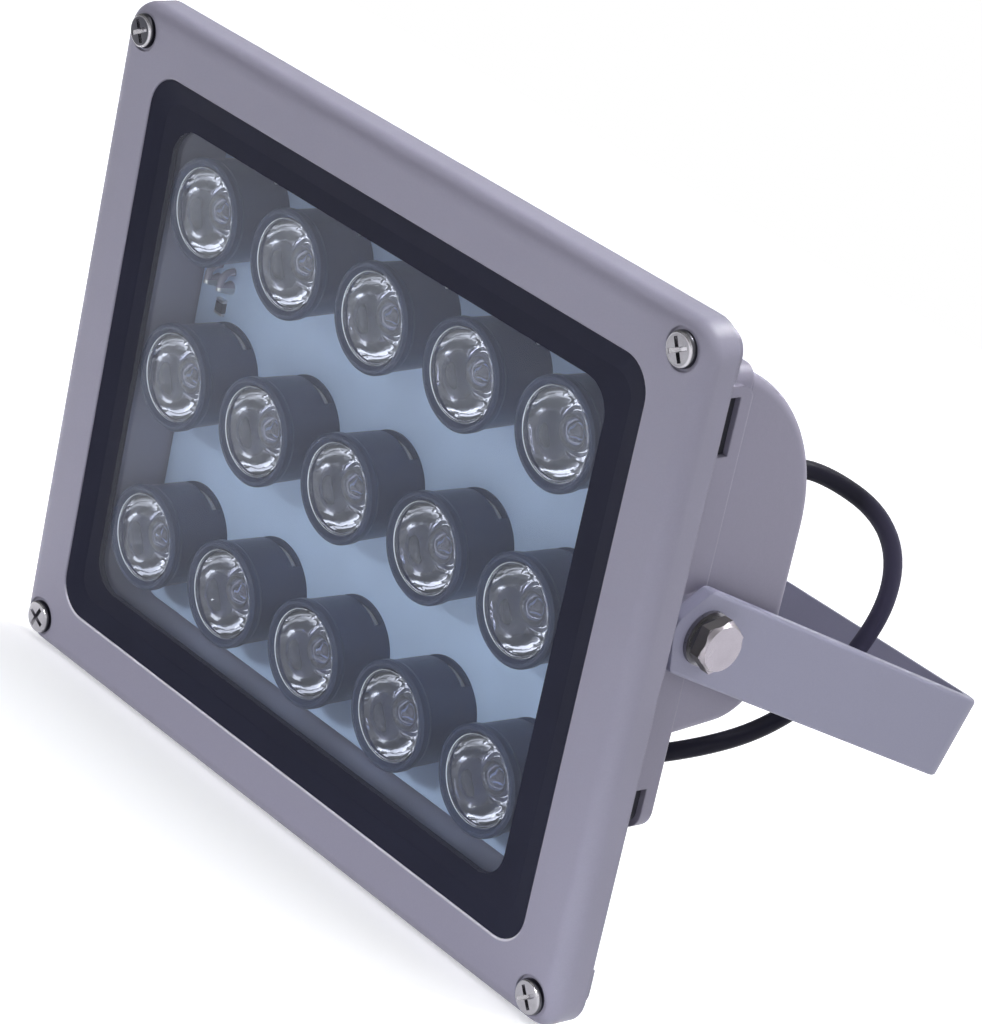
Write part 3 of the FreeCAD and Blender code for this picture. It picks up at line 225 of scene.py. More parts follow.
def spread(tree, value, span, made):
    """A value between the two ends of span, carried over in step to between the two of made."""
    node = tree.nodes.new("ShaderNodeMapRange")
    for label, number in zip(("From Min", "From Max", "To Min", "To Max"), (*span, *made)):
        node.inputs[label].default_value = number
    tree.links.new(value, node.inputs["Value"])
    return node.outputs["Result"]


def sums(tree, operation, first, second=0.0):
    node = tree.nodes.new("ShaderNodeMath")
    node.operation = operation
    for index, item in enumerate((first, second)):
        if isinstance(item, (int, float)):
            node.inputs[index].default_value = item
        else:
            tree.links.new(item, node.inputs[index])
    return node.outputs["Value"]


def scaled_colour(tree, colour, factor):
    node = tree.nodes.new("ShaderNodeVectorMath")
    node.operation = "SCALE"
    tree.links.new(colour, node.inputs[0])
    tree.links.new(factor, node.inputs["Scale"])
    return node.outputs["Vector"]


def bump(tree, height, distance, strength=1.0, edge=0.0):
    node = tree.nodes.new("ShaderNodeBump")
    if edge:
        rounding = tree.nodes.new("ShaderNodeBevel")
        rounding.samples = EDGE_SAMPLES
        rounding.inputs["Radius"].default_value = edge
        tree.links.new(rounding.outputs["Normal"], node.inputs["Normal"])
    node.inputs["Distance"].default_value = distance
    node.inputs["Strength"].default_value = strength
    tree.links.new(height, node.inputs["Height"])
    return node.outputs["Normal"]


def object_place(tree):
    return tree.nodes.new("ShaderNodeTexCoord").outputs["Object"]


def head_place(tree):
    """Object coordinates squared up to the lamp head: x right, y backwards from the bezel, z up."""
    node = tree.nodes.new("ShaderNodeMapping")
    node.inputs["Rotation"].default_value = (-HEAD_TILT, 0.0, 0.0)
    node.inputs["Location"].default_value = HEAD.inverted().to_translation()
    tree.links.new(object_place(tree), node.inputs["Vector"])
    split = tree.nodes.new("ShaderNodeSeparateXYZ")
    tree.links.new(node.outputs["Vector"], split.inputs["Vector"])
    return split.outputs


def overlaid(tree, mask, before, value):
    """What there is before where mask is 0, and value, a colour or a number, where mask is 1."""
    is_colour = isinstance(value, tuple)
    kind = "RGBA" if is_colour else "VALUE"
    node = tree.nodes.new("ShaderNodeMix")
    node.data_type = "RGBA" if is_colour else "FLOAT"
    under, over = [next(i for i in node.inputs if i.name == label and i.type == kind) for label in "AB"]
    tree.links.new(mask, node.inputs["Factor"])
    tree.links.new(before, under)
    over.default_value = (*value, 1) if is_colour else value
    return next(o for o in node.outputs if o.type == kind)


def powder_coat_group():
    """Baked powder paint: a soft orange peel, finer grain on top, and a slow drift in tone."""
    tree, given, made = shared_group(
        "powder_coat",
        [("Paint", "NodeSocketColor", (0.3, 0.3, 0.38, 1)), ("Gloss", "NodeSocketFloat", 0.42)],
        [("Colour", "NodeSocketColor"), ("Roughness", "NodeSocketFloat"), ("Normal", "NodeSocketVector")])
    place = object_place(tree)
    drift = spread(tree, noise(tree, place, scale=14.0, detail=2.0), NOISE_SPAN, (0.975, 1.025))
    grain = noise(tree, place, scale=2600.0, detail=2.0, roughness=0.6)
    speck = spread(tree, grain, (0.35, 0.65), (0.985, 1.015))
    tone = sums(tree, "MULTIPLY", drift, speck)
    tree.links.new(scaled_colour(tree, given["Paint"], tone), made["Colour"])
    rough = spread(tree, noise(tree, place, scale=120.0, roughness=0.6), NOISE_SPAN, (-0.03, 0.04))
    tree.links.new(sums(tree, "ADD", given["Gloss"], rough), made["Roughness"])
    peel = noise(tree, place, scale=620.0, detail=2.0, roughness=0.45)
    height = sums(tree, "ADD", peel, sums(tree, "MULTIPLY", grain, 0.3))
    tree.links.new(bump(tree, height, distance=0.00005, strength=0.5, edge=0.0006), made["Normal"])
    return tree


def moulded_group():
    """Injection-moulded plastic or rubber: a fine spark texture with a slightly uneven gloss."""
    tree, given, made = shared_group(
        "moulded_skin",
        [("Tint", "NodeSocketColor", (0.02, 0.02, 0.025, 1)), ("Gloss", "NodeSocketFloat", 0.45),
         ("Grain", "NodeSocketFloat", 0.4)],
        [("Colour", "NodeSocketColor"), ("Roughness", "NodeSocketFloat"), ("Normal", "NodeSocketVector")])
    place = object_place(tree)
    cloudy = noise(tree, place, scale=60.0)
    tone = spread(tree, cloudy, NOISE_SPAN, (0.93, 1.07))
    tree.links.new(scaled_colour(tree, given["Tint"], tone), made["Colour"])
    rough = spread(tree, cloudy, NOISE_SPAN, (-0.04, 0.05))
    tree.links.new(sums(tree, "ADD", given["Gloss"], rough), made["Roughness"])
    spark = noise(tree, place, scale=3800.0, detail=2.0, roughness=0.6)
    height = sums(tree, "MULTIPLY", spark, given["Grain"])
    tree.links.new(bump(tree, height, distance=0.00003), made["Normal"])
    return tree


def worked_metal_group():
    """Plated or bare steel: faint clouding, fine turning marks and scattered hairline scratches."""
    tree, given, made = shared_group(
        "worked_metal",
        [("Metal", "NodeSocketColor", (0.62, 0.61, 0.6, 1)), ("Gloss", "NodeSocketFloat", 0.25),
         ("Marks", "NodeSocketFloat", 0.5)],
        [("Colour", "NodeSocketColor"), ("Roughness", "NodeSocketFloat"), ("Normal", "NodeSocketVector")])
    place = object_place(tree)
    cloudy = noise(tree, place, scale=260.0, detail=4.0, roughness=0.6)
    tone = spread(tree, cloudy, NOISE_SPAN, (0.86, 1.06))
    tree.links.new(scaled_colour(tree, given["Metal"], tone), made["Colour"])
    rough = spread(tree, cloudy, NOISE_SPAN, (-0.07, 0.09))
    tree.links.new(sums(tree, "ADD", given["Gloss"], rough), made["Roughness"])
    stretched = tree.nodes.new("ShaderNodeMapping")
    stretched.inputs["Rotation"].default_value = MARKS_TURN
    stretched.inputs["Scale"].default_value = MARKS_STRETCH
    tree.links.new(place, stretched.inputs["Vector"])
    lines = noise(tree, stretched.outputs["Vector"], scale=1.0, detail=2.0, roughness=0.6)
    height = sums(tree, "MULTIPLY", lines, given["Marks"])
    tree.links.new(bump(tree, height, distance=0.00002), made["Normal"])
    return tree


POWDER_COAT = powder_coat_group()
MOULDED = moulded_group()
WORKED_METAL = worked_metal_group()


def finish_from(name, group, colour_name, colour, gloss, metallic=0.0, shine=METAL_SHINE, **more):
    """A material from a shared group. The further values go to the group's inputs of those names."""
    material = bpy.data.materials.new(name)
    material.use_nodes = True
    tree = material.node_tree
    shader = tree.nodes["Principled BSDF"]
    shared = tree.nodes.new("ShaderNodeGroup")
    shared.node_tree = group
    shared.inputs[colour_name].default_value = (*colour, 1)
    shared.inputs["Gloss"].default_value = gloss
    for label, value in more.items():
        shared.inputs[label].default_value = value
    tree.links.new(shared.outputs["Colour"], shader.inputs["Base Color"])
    tree.links.new(shared.outputs["Roughness"], shader.inputs["Roughness"])
    tree.links.new(shared.outputs["Normal"], shader.inputs["Normal"])
    shader.inputs["Metallic"].default_value = metallic
    shader.inputs["Specular IOR Level"].default_value = shine
    return material


def seen_through(name, tint, ior, coating=(1.0, 1.0, 1.0), ripple=0.0):
    """Clear glass or plastic that lets light fall on what is behind it. A coated pane reflects less."""
    material = bpy.data.materials.new(name)
    material.use_nodes = True
    tree = material.node_tree
    shader = tree.nodes["Principled BSDF"]
    shader.inputs["Base Color"].default_value = (*tint, 1)
    shader.inputs["Metallic"].default_value = 0.0
    shader.inputs["Transmission Weight"].default_value = 1.0
    shader.inputs["Roughness"].default_value = 0.0
    shader.inputs["IOR"].default_value = ior
    shader.inputs["Specular Tint"].default_value = (*coating, 1)
    if ripple:
        swell = noise(tree, object_place(tree), scale=420.0, detail=2.0)
        tree.links.new(bump(tree, swell, distance=ripple), shader.inputs["Normal"])
    clear = tree.nodes.new("ShaderNodeBsdfTransparent")
    clear.inputs["Color"].default_value = (*[SHADOW_PASS * c for c in tint], 1)
    path = tree.nodes.new("ShaderNodeLightPath")
    passing = sums(tree, "MAXIMUM", path.outputs["Is Shadow Ray"], path.outputs["Is Diffuse Ray"])
    mix = tree.nodes.new("ShaderNodeMixShader")
    tree.links.new(passing, mix.inputs["Fac"])
    tree.links.new(shader.outputs["BSDF"], mix.inputs[1])
    tree.links.new(clear.outputs["BSDF"], mix.inputs[2])
    tree.links.new(mix.outputs["Shader"], tree.nodes["Material Output"].inputs["Surface"])
    return material


# Finishes of this lamp


def paint(name, colour, gloss):
    return finish_from(name, POWDER_COAT, "Paint", colour, gloss, shine=COAT_SHINE)


def moulding(name, tint, gloss, grain, shine=COAT_SHINE):
    return finish_from(name, MOULDED, "Tint", tint, gloss, shine=shine, Grain=grain)


def metal(name, tone, gloss, marks):
    return finish_from(name, WORKED_METAL, "Metal", tone, gloss, metallic=1.0, Marks=marks)


bezel_paint = paint("bezel_paint", (0.251, 0.243, 0.318), gloss=0.40)
body_paint = paint("body_paint", (0.248, 0.237, 0.312), gloss=0.42)
bracket_paint = paint("bracket_paint", (0.272, 0.272, 0.372), gloss=0.42)
black_rubber = moulding("black_rubber", (0.013, 0.013, 0.020), gloss=0.55, grain=0.5)
holder_plastic = moulding("holder_plastic", (0.030, 0.042, 0.092), gloss=0.34, grain=0.03, shine=0.22)
border_ink = moulding("border_ink", (0.0195, 0.0205, 0.035), gloss=0.45, grain=0.0, shine=0.03)
bead_rubber = moulding("bead_rubber", (0.0195, 0.0205, 0.035), gloss=0.50, grain=0.02, shine=0.03)
lead_jacket = moulding("lead_jacket", (0.013, 0.0125, 0.022), gloss=0.32, grain=0.2, shine=0.08)
gland_nylon = moulding("gland_nylon", (0.022, 0.022, 0.026), gloss=0.42, grain=0.4)
socket_plastic = moulding("socket_plastic", (0.020, 0.020, 0.024), gloss=0.40, grain=0.4)
nickel_plate = metal("nickel_plate", (0.55, 0.54, 0.55), gloss=0.24, marks=0.35)
screw_steel = metal("screw_steel", (0.46, 0.45, 0.48), gloss=0.22, marks=0.3)
stainless_bolt = metal("stainless_bolt", (0.385, 0.355, 0.40), gloss=0.22, marks=0.5)
washer_steel = metal("washer_steel", (0.24, 0.235, 0.26), gloss=0.30, marks=0.6)
spring_steel = metal("spring_steel", (0.13, 0.128, 0.125), gloss=0.26, marks=0.6)
board_mask = moulding("board_mask", (0.540, 0.648, 0.865), gloss=0.45, grain=0.1)
driver_mask = moulding("driver_mask", (0.02, 0.13, 0.06), gloss=0.4, grain=0.15)
chip_black = moulding("chip_black", (0.03, 0.03, 0.035), gloss=0.35, grain=0.2)
ferrite = moulding("ferrite", (0.05, 0.05, 0.052), gloss=0.6, grain=0.8)
capacitor_sleeve = moulding("capacitor_sleeve", (0.02, 0.03, 0.06), gloss=0.35, grain=0.1)
wire_skin = moulding("wire_skin", (0.34, 0.31, 0.38), gloss=0.4, grain=0.2)
emitter_ceramic = moulding("emitter_ceramic", (0.20, 0.20, 0.21), gloss=0.4, grain=0.2)
white_moulding_and_glint = moulding("white_moulding_and_glint", (0.93, 0.93, 0.96), gloss=0.30, grain=0.0, shine=0.5)
pane_glass = seen_through("pane_glass", (0.93, 0.965, 0.985), ior=1.5, coating=(0.17, 0.20, 0.34))
lens_clear = seen_through("lens_clear", (0.775, 0.775, 0.91), ior=1.49, ripple=0.00003)


def second_tone_or_painted_light(material, mask_of, colour, roughness, metallic=0.0):
    """A second finish, or painted light or shade, on part of a piece, where mask_of(tree, x, y, z) is 1 in
    the head's frame.
    """
    tree = material.node_tree
    shader = tree.nodes["Principled BSDF"]
    mask = mask_of(tree, *head_place(tree)[:3])
    for label, value in (("Base Color", colour), ("Roughness", roughness)):
        before = shader.inputs[label].links[0].from_socket
        tree.links.new(overlaid(tree, mask, before, value), shader.inputs[label])
    if metallic:
        tree.links.new(sums(tree, "MULTIPLY", mask, metallic), shader.inputs["Metallic"])


def below(tree, value, edge):
    return sums(tree, "LESS_THAN", value, edge)


def beyond(tree, value, edge):
    return sums(tree, "GREATER_THAN", value, edge)


def without_sign(tree, value):
    return sums(tree, "ABSOLUTE", value)


def dome_part(tree, x, y, z):
    return below(tree, y, EMITTER_DOME_FOOT)


def chip_ends(tree, x, y, z):
    return beyond(tree, without_sign(tree, sums(tree, "SUBTRACT", z, RESISTOR_Z)), RESISTOR_BODY_REACH)


def trace_lines(tree, x, y, z):
    """The copper that joins the emitters shows faintly through the board's white mask."""
    across = sums(tree, "PINGPONG", sums(tree, "ADD", z, ROW_PITCH * 4), ROW_PITCH / 2)
    return below(tree, across, TRACE_HALF_WIDTH)


def bared_end(tree, x, y, z):
    return below(tree, z, LEAD_BARED_BELOW)


def shaded_flanks(tree, x, y, z):
    """The sides of a bolt's head, painted darker and duller than its face as painted shade."""
    split = tree.nodes.new("ShaderNodeSeparateXYZ")
    tree.links.new(tree.nodes.new("ShaderNodeTexCoord").outputs["Normal"], split.inputs["Vector"])
    return spread(tree, without_sign(tree, split.outputs["X"]), (0.35, 0.60), (1.0, 0.0))


def from_screw(tree, x, z):
    """Distance from the axis of the nearest bezel screw."""
    across = sums(tree, "SUBTRACT", without_sign(tree, x), SCREW_X)
    along = sums(tree, "SUBTRACT", without_sign(tree, z), SCREW_Z)
    squares = [sums(tree, "MULTIPLY", part, part) for part in (across, along)]
    return sums(tree, "SQRT", sums(tree, "ADD", *squares))


def painted_screw_shade(tree, x, y, z):
    """The flat of a bezel screw's head inside its rim, painted darker towards the lamp's top left as a
    painted dark reflection, and the side of the head under that rim, painted dark as painted shadow."""
    inside = spread(tree, from_screw(tree, x, z), SCREW_FLAT, (1.0, 0.0))
    inside = sums(tree, "MULTIPLY", inside, below(tree, y, SCREW_FACE + SCREW_FLAT_DEPTH))
    upward = sums(tree, "SUBTRACT", z, sums(tree, "MULTIPLY", x, SCREW_SHADE_SLANT))
    face = sums(tree, "MULTIPLY", inside, spread(tree, upward, SCREW_SHADE_SPAN, (0.0, 0.93)))
    side = spread(tree, y, SCREW_SIDE, (0.0, 0.88))
    side = sums(tree, "MULTIPLY", side, beyond(tree, from_screw(tree, x, z), SCREW_SIDE_FROM))
    return sums(tree, "MAXIMUM", face, side)


# Painted shade: the front rim of each lens cup, painted darker than the rest of the cup
def shaded_cup_rim(tree, x, y, z):
    return spread(tree, y, CUP_RIM_EDGE, (1.0, 0.0))


def painted_opening_highlight(tree, x, y, z):
    """A painted highlight along the lower edge of the bezel's opening, where it would catch the light from
    above.
    """
    over = []
    for place, reach in zip((x, z), OPENING_REACH):
        past = sums(tree, "SUBTRACT", without_sign(tree, place), reach - OPENING_CORNER)
        past = sums(tree, "MAXIMUM", past, 0.0)
        over.append(sums(tree, "MULTIPLY", past, past))
    away = sums(tree, "SUBTRACT", sums(tree, "SQRT", sums(tree, "ADD", *over)), OPENING_CORNER)
    near = spread(tree, away, OPENING_HIGHLIGHT_BAND, (1.0, 0.0))
    return sums(tree, "MULTIPLY", near, spread(tree, z, OPENING_HIGHLIGHT_FOOT, (0.9, 0.0)))


def painted_bend_highlight(tree, x, y, z):
    """The lead's outer bend, with a duller gloss and painted paler as a painted highlight."""
    return spread(tree, y, BEND_HIGHLIGHT_SPAN, (0.0, 1.0))


second_tone_or_painted_light(emitter_ceramic, dome_part, (0.10, 0.09, 0.11), roughness=0.12)
# Painted highlight: the lead's outer bend painted paler
second_tone_or_painted_light(lead_jacket, painted_bend_highlight, (0.064, 0.060, 0.104), roughness=0.50)
# Painted shade: the bolt heads' flanks painted darker than their faces
second_tone_or_painted_light(stainless_bolt, shaded_flanks, (0.17, 0.162, 0.155), roughness=0.45)
# Painted dark reflection and painted shadow on the bezel screws' heads
second_tone_or_painted_light(screw_steel, painted_screw_shade, (0.025, 0.025, 0.034), roughness=0.26)
# Painted shade on the lens cups' front rims
second_tone_or_painted_light(holder_plastic, shaded_cup_rim, (0.025, 0.034, 0.072), roughness=0.36)
# Painted highlight along the lower edge of the bezel's opening
second_tone_or_painted_light(bezel_paint, painted_opening_highlight, (0.66, 0.65, 0.74), roughness=0.30)
second_tone_or_painted_light(chip_black, chip_ends, (0.62, 0.62, 0.63), roughness=0.3, metallic=1.0)
second_tone_or_painted_light(wire_skin, bared_end, (0.6, 0.6, 0.6), roughness=0.3, metallic=1.0)
second_tone_or_painted_light(board_mask, trace_lines, (0.505, 0.610, 0.820), roughness=0.40)

FINISHES = {
    "bezel_frame": bezel_paint, "housing_body": body_paint, "rear_cover": body_paint,
    "mount_bracket": bracket_paint, "glass_pane": pane_glass, "glass_border": border_ink,
    "glass_seal": black_rubber, "glass_bead": bead_rubber, "rim_seal": black_rubber,
    "cover_seal": black_rubber, "bezel_screws": screw_steel, "cover_screws": nickel_plate,
    "board_screws": nickel_plate, "led_board": board_mask, "led_emitters": emitter_ceramic,
    "board_resistor": chip_black, "board_leads": wire_skin, "driver_board": driver_mask,
    "driver_coil": ferrite, "driver_capacitors": capacitor_sleeve, "gland_body": gland_nylon,
    "gland_cap": gland_nylon, "gland_nut": gland_nylon, "coil_tie": gland_nylon,
    "power_socket": socket_plastic, "pivot_bolts": stainless_bolt, "spring_washers": spring_steel,
    "flat_washers": washer_steel,
}


def painted(piece, *materials):
    piece.data.materials.clear()
    for material in materials:
        piece.data.materials.append(material)


for name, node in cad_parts.items():
    if name.startswith("lens_holder"):
        painted(node, holder_plastic)
    elif name.startswith("lens_"):
        painted(node, lens_clear)
    elif name in FINISHES:
        painted(node, FINISHES[name])
painted(lead, lead_jacket)

# Round pieces, drawn out ring by ring, and copies of a piece in every cup

SAME_PLACE = 0.000001
SHARP_FROM = math.radians(38)


def drawn_out(name, rings, sides, hollow=False):
    """A round piece about the head's own Y axis, from (radius, depth) rings in millimetres. A hollow
    one has no ends: its last ring runs back into its first."""
    everything_deselected()
    radius, depth = rings[0]
    bpy.ops.mesh.primitive_circle_add(
        vertices=sides, radius=radius / 1000, fill_type="NOTHING" if hollow else "NGON",
        location=(0, depth / 1000, 0), rotation=(math.pi / 2, 0, 0))
    piece = bpy.context.object
    piece.name = name
    bpy.ops.object.transform_apply(location=True, rotation=True, scale=True)
    bpy.ops.object.mode_set(mode="EDIT")
    bpy.ops.mesh.select_mode(type="EDGE")
    bpy.ops.mesh.select_all(action="SELECT")
    for (here, now), (wide, deep) in zip(rings, rings[1:] + rings[:1] * hollow):
        bpy.ops.mesh.extrude_edges_move(TRANSFORM_OT_translate={"value": (0, (deep - now) / 1000, 0)})
        bpy.ops.transform.resize(value=(wide / here, 1, wide / here))
    if not hollow:
        bpy.ops.mesh.edge_face_add()
    bpy.ops.mesh.select_all(action="SELECT")
    bpy.ops.mesh.remove_doubles(threshold=SAME_PLACE)
    bpy.ops.mesh.normals_make_consistent(inside=False)
    bpy.ops.object.mode_set(mode="OBJECT")
    bpy.ops.object.shade_smooth_by_angle(angle=SHARP_FROM)
    return piece


def set_in_head(piece, x, y, z, turned=0.0):
    """Carries a finished piece from the head's origin to its place, into its mesh."""
    piece.data.transform(HEAD @ Matrix.Translation((x, y, z)) @ Matrix.Rotation(turned, 4, "Y"))
    piece.data.update()
    return piece


def copied(piece, name):
    twin = piece.copy()
    twin.data = piece.data.copy()
    twin.name = name
    bpy.context.scene.collection.objects.link(twin)
    return twin


def in_every_cup(master, name, depth):
    """Gives a copy of a finished piece in each cup, with the cup's row and column. The first one goes."""
    for row, z in enumerate(HOLDER_ROWS, 1):
        for column, x in enumerate(HOLDER_COLUMNS, 1):
            piece = copied(master, "%s_%d_%d" % (name, row, column))
            yield set_in_head(piece, x, depth, z), row, column
    bpy.data.objects.remove(master)


# Collimator lenses

LENS_SIDES = 72
LENS_FRONT = 0.00545
LENS_RINGS = [
    (0.25, 0.95), (1.2, 0.90), (2.2, 0.76), (3.1, 0.55), (3.9, 0.34), (4.7, 0.20), (5.6, 0.14),
    (6.6, 0.17), (7.6, 0.25), (8.4, 0.31), (8.86, 0.32), (8.98, 0.12), (9.12, -0.14), (9.32, -0.20),
    (9.52, -0.12), (9.62, 0.08), (9.63, 0.3), (9.63, 1.25), (9.55, 1.38), (9.25, 1.40), (9.14, 1.9),
    (8.96, 2.7), (8.66, 3.8), (8.2, 5.0), (7.6, 6.3), (6.85, 7.7), (6.0, 9.1), (5.35, 10.2),
    (4.95, 10.9), (4.85, 11.0), (4.05, 11.0), (3.95, 10.9), (3.85, 9.2), (3.72, 7.2), (3.60, 6.7),
    (3.1, 6.05), (2.2, 5.45), (1.1, 5.10), (0.25, 5.02),
]


def collimators():
    master = drawn_out("collimator", LENS_RINGS, LENS_SIDES)
    painted(master, lens_clear)
    for lens, row, column in in_every_cup(master, "collimator", LENS_FRONT):
        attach(lens, "lamp_head")
        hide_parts("lens_%d_%d" % (row, column))


collimators()

# Lens glints: a painted highlight, a white ring at the edge of each lens, full on the side that the light
# comes from and fine on the other

GLINT_RADIUS = 0.00948
GLINT_TUBE = 0.00014
GLINT_DEPTH = 0.00523
GLINT_SIDE = math.radians(192)
GLINT_FINEST = 0.12
GLINT_FULLER = 0.25  # how far past the quarter turn the full side reaches, as a cosine


def lens_glints():
    everything_deselected()
    bpy.ops.mesh.primitive_torus_add(
        major_segments=LENS_SIDES, minor_segments=8, major_radius=GLINT_RADIUS, minor_radius=GLINT_TUBE,
        rotation=(math.pi / 2, 0, 0))
    master = bpy.context.object
    bpy.ops.object.transform_apply(location=True, rotation=True, scale=True)
    for knot in master.data.vertices:
        angle = math.atan2(knot.co.z, knot.co.x)
        middle = Vector((GLINT_RADIUS * math.cos(angle), 0, GLINT_RADIUS * math.sin(angle)))
        fullness = max(GLINT_FINEST, GLINT_FULLER + math.cos(angle - GLINT_SIDE)) / (GLINT_FULLER + 1)
        knot.co = middle + (knot.co - middle) * fullness
    bpy.ops.object.shade_smooth()
    # The white ring is a painted highlight
    painted(master, white_moulding_and_glint)
    for glint, row, column in in_every_cup(master, "lens_glint", GLINT_DEPTH):
        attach(glint, "lamp_head")


lens_glints()

# Floors of the lens cups: a ring on the board that closes each cup round its emitter. Its white
# skirt shows through the notch in the cup's foot.

CUP_FLOOR_RINGS = [
    (3.8, 18.1), (4.1, 17.9), (9.0, 17.35), (9.3, 17.4), (9.3, 19.4), (9.1, 19.45), (3.8, 19.45),
]
SKIRT_BEYOND = 0.0092


def cup_floors():
    master = drawn_out("cup_floor", CUP_FLOOR_RINGS, 48, hollow=True)
    painted(master, holder_plastic, white_moulding_and_glint)
    for face in master.data.polygons:
        outward = math.hypot(face.center.x, face.center.z) > SKIRT_BEYOND and abs(face.normal.y) < 0.5
        face.material_index = 1 if outward else 0
    for ring, row, column in in_every_cup(master, "cup_floor", 0.0):
        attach(ring, "lamp_head")


cup_floors()

# Bezel screws: low heads with a rounded rim, and a cross that narrows towards its foot

SCREW_RINGS = [
    (0.25, -1.20), (1.4, -1.20), (2.4, -1.18), (2.9, -1.14), (3.15, -1.08), (3.35, -0.96), (3.50, -0.78),
    (3.62, -0.50), (3.68, -0.10), (3.68, 0.48), (2.02, 0.48), (2.0, 9.0), (1.6, 9.5), (0.25, 9.5),
]
CROSS_REACH = 0.0029
CROSS_WIDTH = 0.00105
CROSS_DEPTH = 0.0017
CROSS_LEAD_IN = 0.2  # each arm of the cutter starts this part of its depth in front of the face
CROSS_FOOT = (0.36, 1, 0.60)  # the foot's size against the mouth's
CROSS_SHARP_FROM = math.radians(30)
SCREW_PLACES = [  # x, z and the cross's turn in degrees
    (-SCREW_X, SCREW_Z, -28.0), (SCREW_X, SCREW_Z, -28.0),
    (SCREW_X, -SCREW_Z, -34.0), (-SCREW_X, -SCREW_Z, -64.0),
]


def faces_selected(piece, wanted):
    """In edit mode's face select, only the faces that wanted(face) says."""
    bpy.ops.object.mode_set(mode="EDIT")
    bpy.ops.mesh.select_mode(type="FACE")
    bpy.ops.mesh.select_all(action="DESELECT")
    bpy.ops.object.mode_set(mode="OBJECT")
    for face in piece.data.polygons:
        face.select = wanted(face)
    bpy.ops.object.mode_set(mode="EDIT")


def applied(piece, name, kind, **settings):
    modifier = piece.modifiers.new(name, kind)
    for label, value in settings.items():
        setattr(modifier, label, value)
    everything_deselected()
    piece.select_set(True)
    bpy.context.view_layer.objects.active = piece
    bpy.ops.object.modifier_apply(modifier=name)


def cross_arm(turned):
    everything_deselected()
    middle = SCREW_FACE + (1 - CROSS_LEAD_IN) / 2 * CROSS_DEPTH
    bpy.ops.mesh.primitive_cube_add(size=1.0, location=(0, middle, 0))
    arm = bpy.context.object
    arm.scale = (2 * CROSS_REACH, (1 + CROSS_LEAD_IN) * CROSS_DEPTH, CROSS_WIDTH)
    bpy.ops.object.transform_apply(location=True, rotation=True, scale=True)
    faces_selected(arm, lambda face: face.normal.y > 0.9)
    bpy.ops.transform.resize(value=CROSS_FOOT)
    bpy.ops.object.mode_set(mode="OBJECT")
    arm.data.transform(Matrix.Rotation(turned, 4, "Y"))
    return arm


def bezel_screws():
    master = drawn_out("bezel_screw", SCREW_RINGS, 64)
    for turned in (0.0, math.pi / 2):
        arm = cross_arm(turned)
        applied(master, "cross", "BOOLEAN", operation="DIFFERENCE", object=arm, solver="EXACT")
        bpy.data.objects.remove(arm)
    painted(master, screw_steel)
    everything_deselected()
    master.select_set(True)
    bpy.context.view_layer.objects.active = master
    bpy.ops.object.shade_smooth_by_angle(angle=CROSS_SHARP_FROM)
    for index, (x, z, degrees) in enumerate(SCREW_PLACES, 1):
        screw = set_in_head(copied(master, "bezel_screw_%d" % index), x, 0.0, z, math.radians(degrees))
        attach(screw, "lamp_head")
        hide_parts("bezel_screws")
    bpy.data.objects.remove(master)


bezel_screws()

# Pane: one plate of glass, clear in its window and printed dark round it

PANE_FRONT = 0.0013
PANE_THICK = 0.0028
PANE_SIZE = (0.1695, 0.1340)
PANE_CORNER = 0.00955
WINDOW_SIZE = (0.1413, 0.1070)
WINDOW_CORNER = 0.007
WINDOW_PLACE = (-0.0008, 0.0002)
WINDOW_MARGIN = 0.0005


def rounded_outline(size, corner, x, y, z):
    """A loop of edges, facing the front, with rounded corners."""
    everything_deselected()
    bpy.ops.mesh.primitive_plane_add(size=1.0, location=(x, y, z), rotation=(math.pi / 2, 0, 0))
    outline = bpy.context.object
    outline.scale = (size[0], size[1], 1)
    bpy.ops.object.transform_apply(location=True, rotation=True, scale=True)
    bpy.ops.object.mode_set(mode="EDIT")
    bpy.ops.mesh.select_all(action="SELECT")
    bpy.ops.mesh.bevel(offset=corner, segments=10, affect="VERTICES")
    bpy.ops.mesh.select_all(action="SELECT")
    bpy.ops.mesh.delete(type="ONLY_FACE")
    bpy.ops.object.mode_set(mode="OBJECT")
    return outline


def bridged(name, first, second):
    """Two outlines joined by a band of faces, left in object mode with nothing selected."""
    everything_deselected()
    second.select_set(True)
    first.select_set(True)
    bpy.context.view_layer.objects.active = first
    bpy.ops.object.join()
    first.name = name
    bpy.ops.object.mode_set(mode="EDIT")
    bpy.ops.mesh.select_mode(type="EDGE")
    bpy.ops.mesh.select_all(action="SELECT")
    bpy.ops.mesh.bridge_edge_loops()
    bpy.ops.mesh.select_all(action="DESELECT")
    bpy.ops.object.mode_set(mode="OBJECT")
    return first


def in_window(x, z):
    return (abs(x - WINDOW_PLACE[0]) < WINDOW_SIZE[0] / 2 + WINDOW_MARGIN
            and abs(z - WINDOW_PLACE[1]) < WINDOW_SIZE[1] / 2 + WINDOW_MARGIN)


def all_in_window(places, part):
    return all(in_window(places[i].co.x, places[i].co.z) for i in part.vertices)


def normals_outward():
    """From object mode and back to it."""
    bpy.ops.object.mode_set(mode="EDIT")
    bpy.ops.mesh.select_all(action="SELECT")
    bpy.ops.mesh.normals_make_consistent(inside=False)
    bpy.ops.object.mode_set(mode="OBJECT")


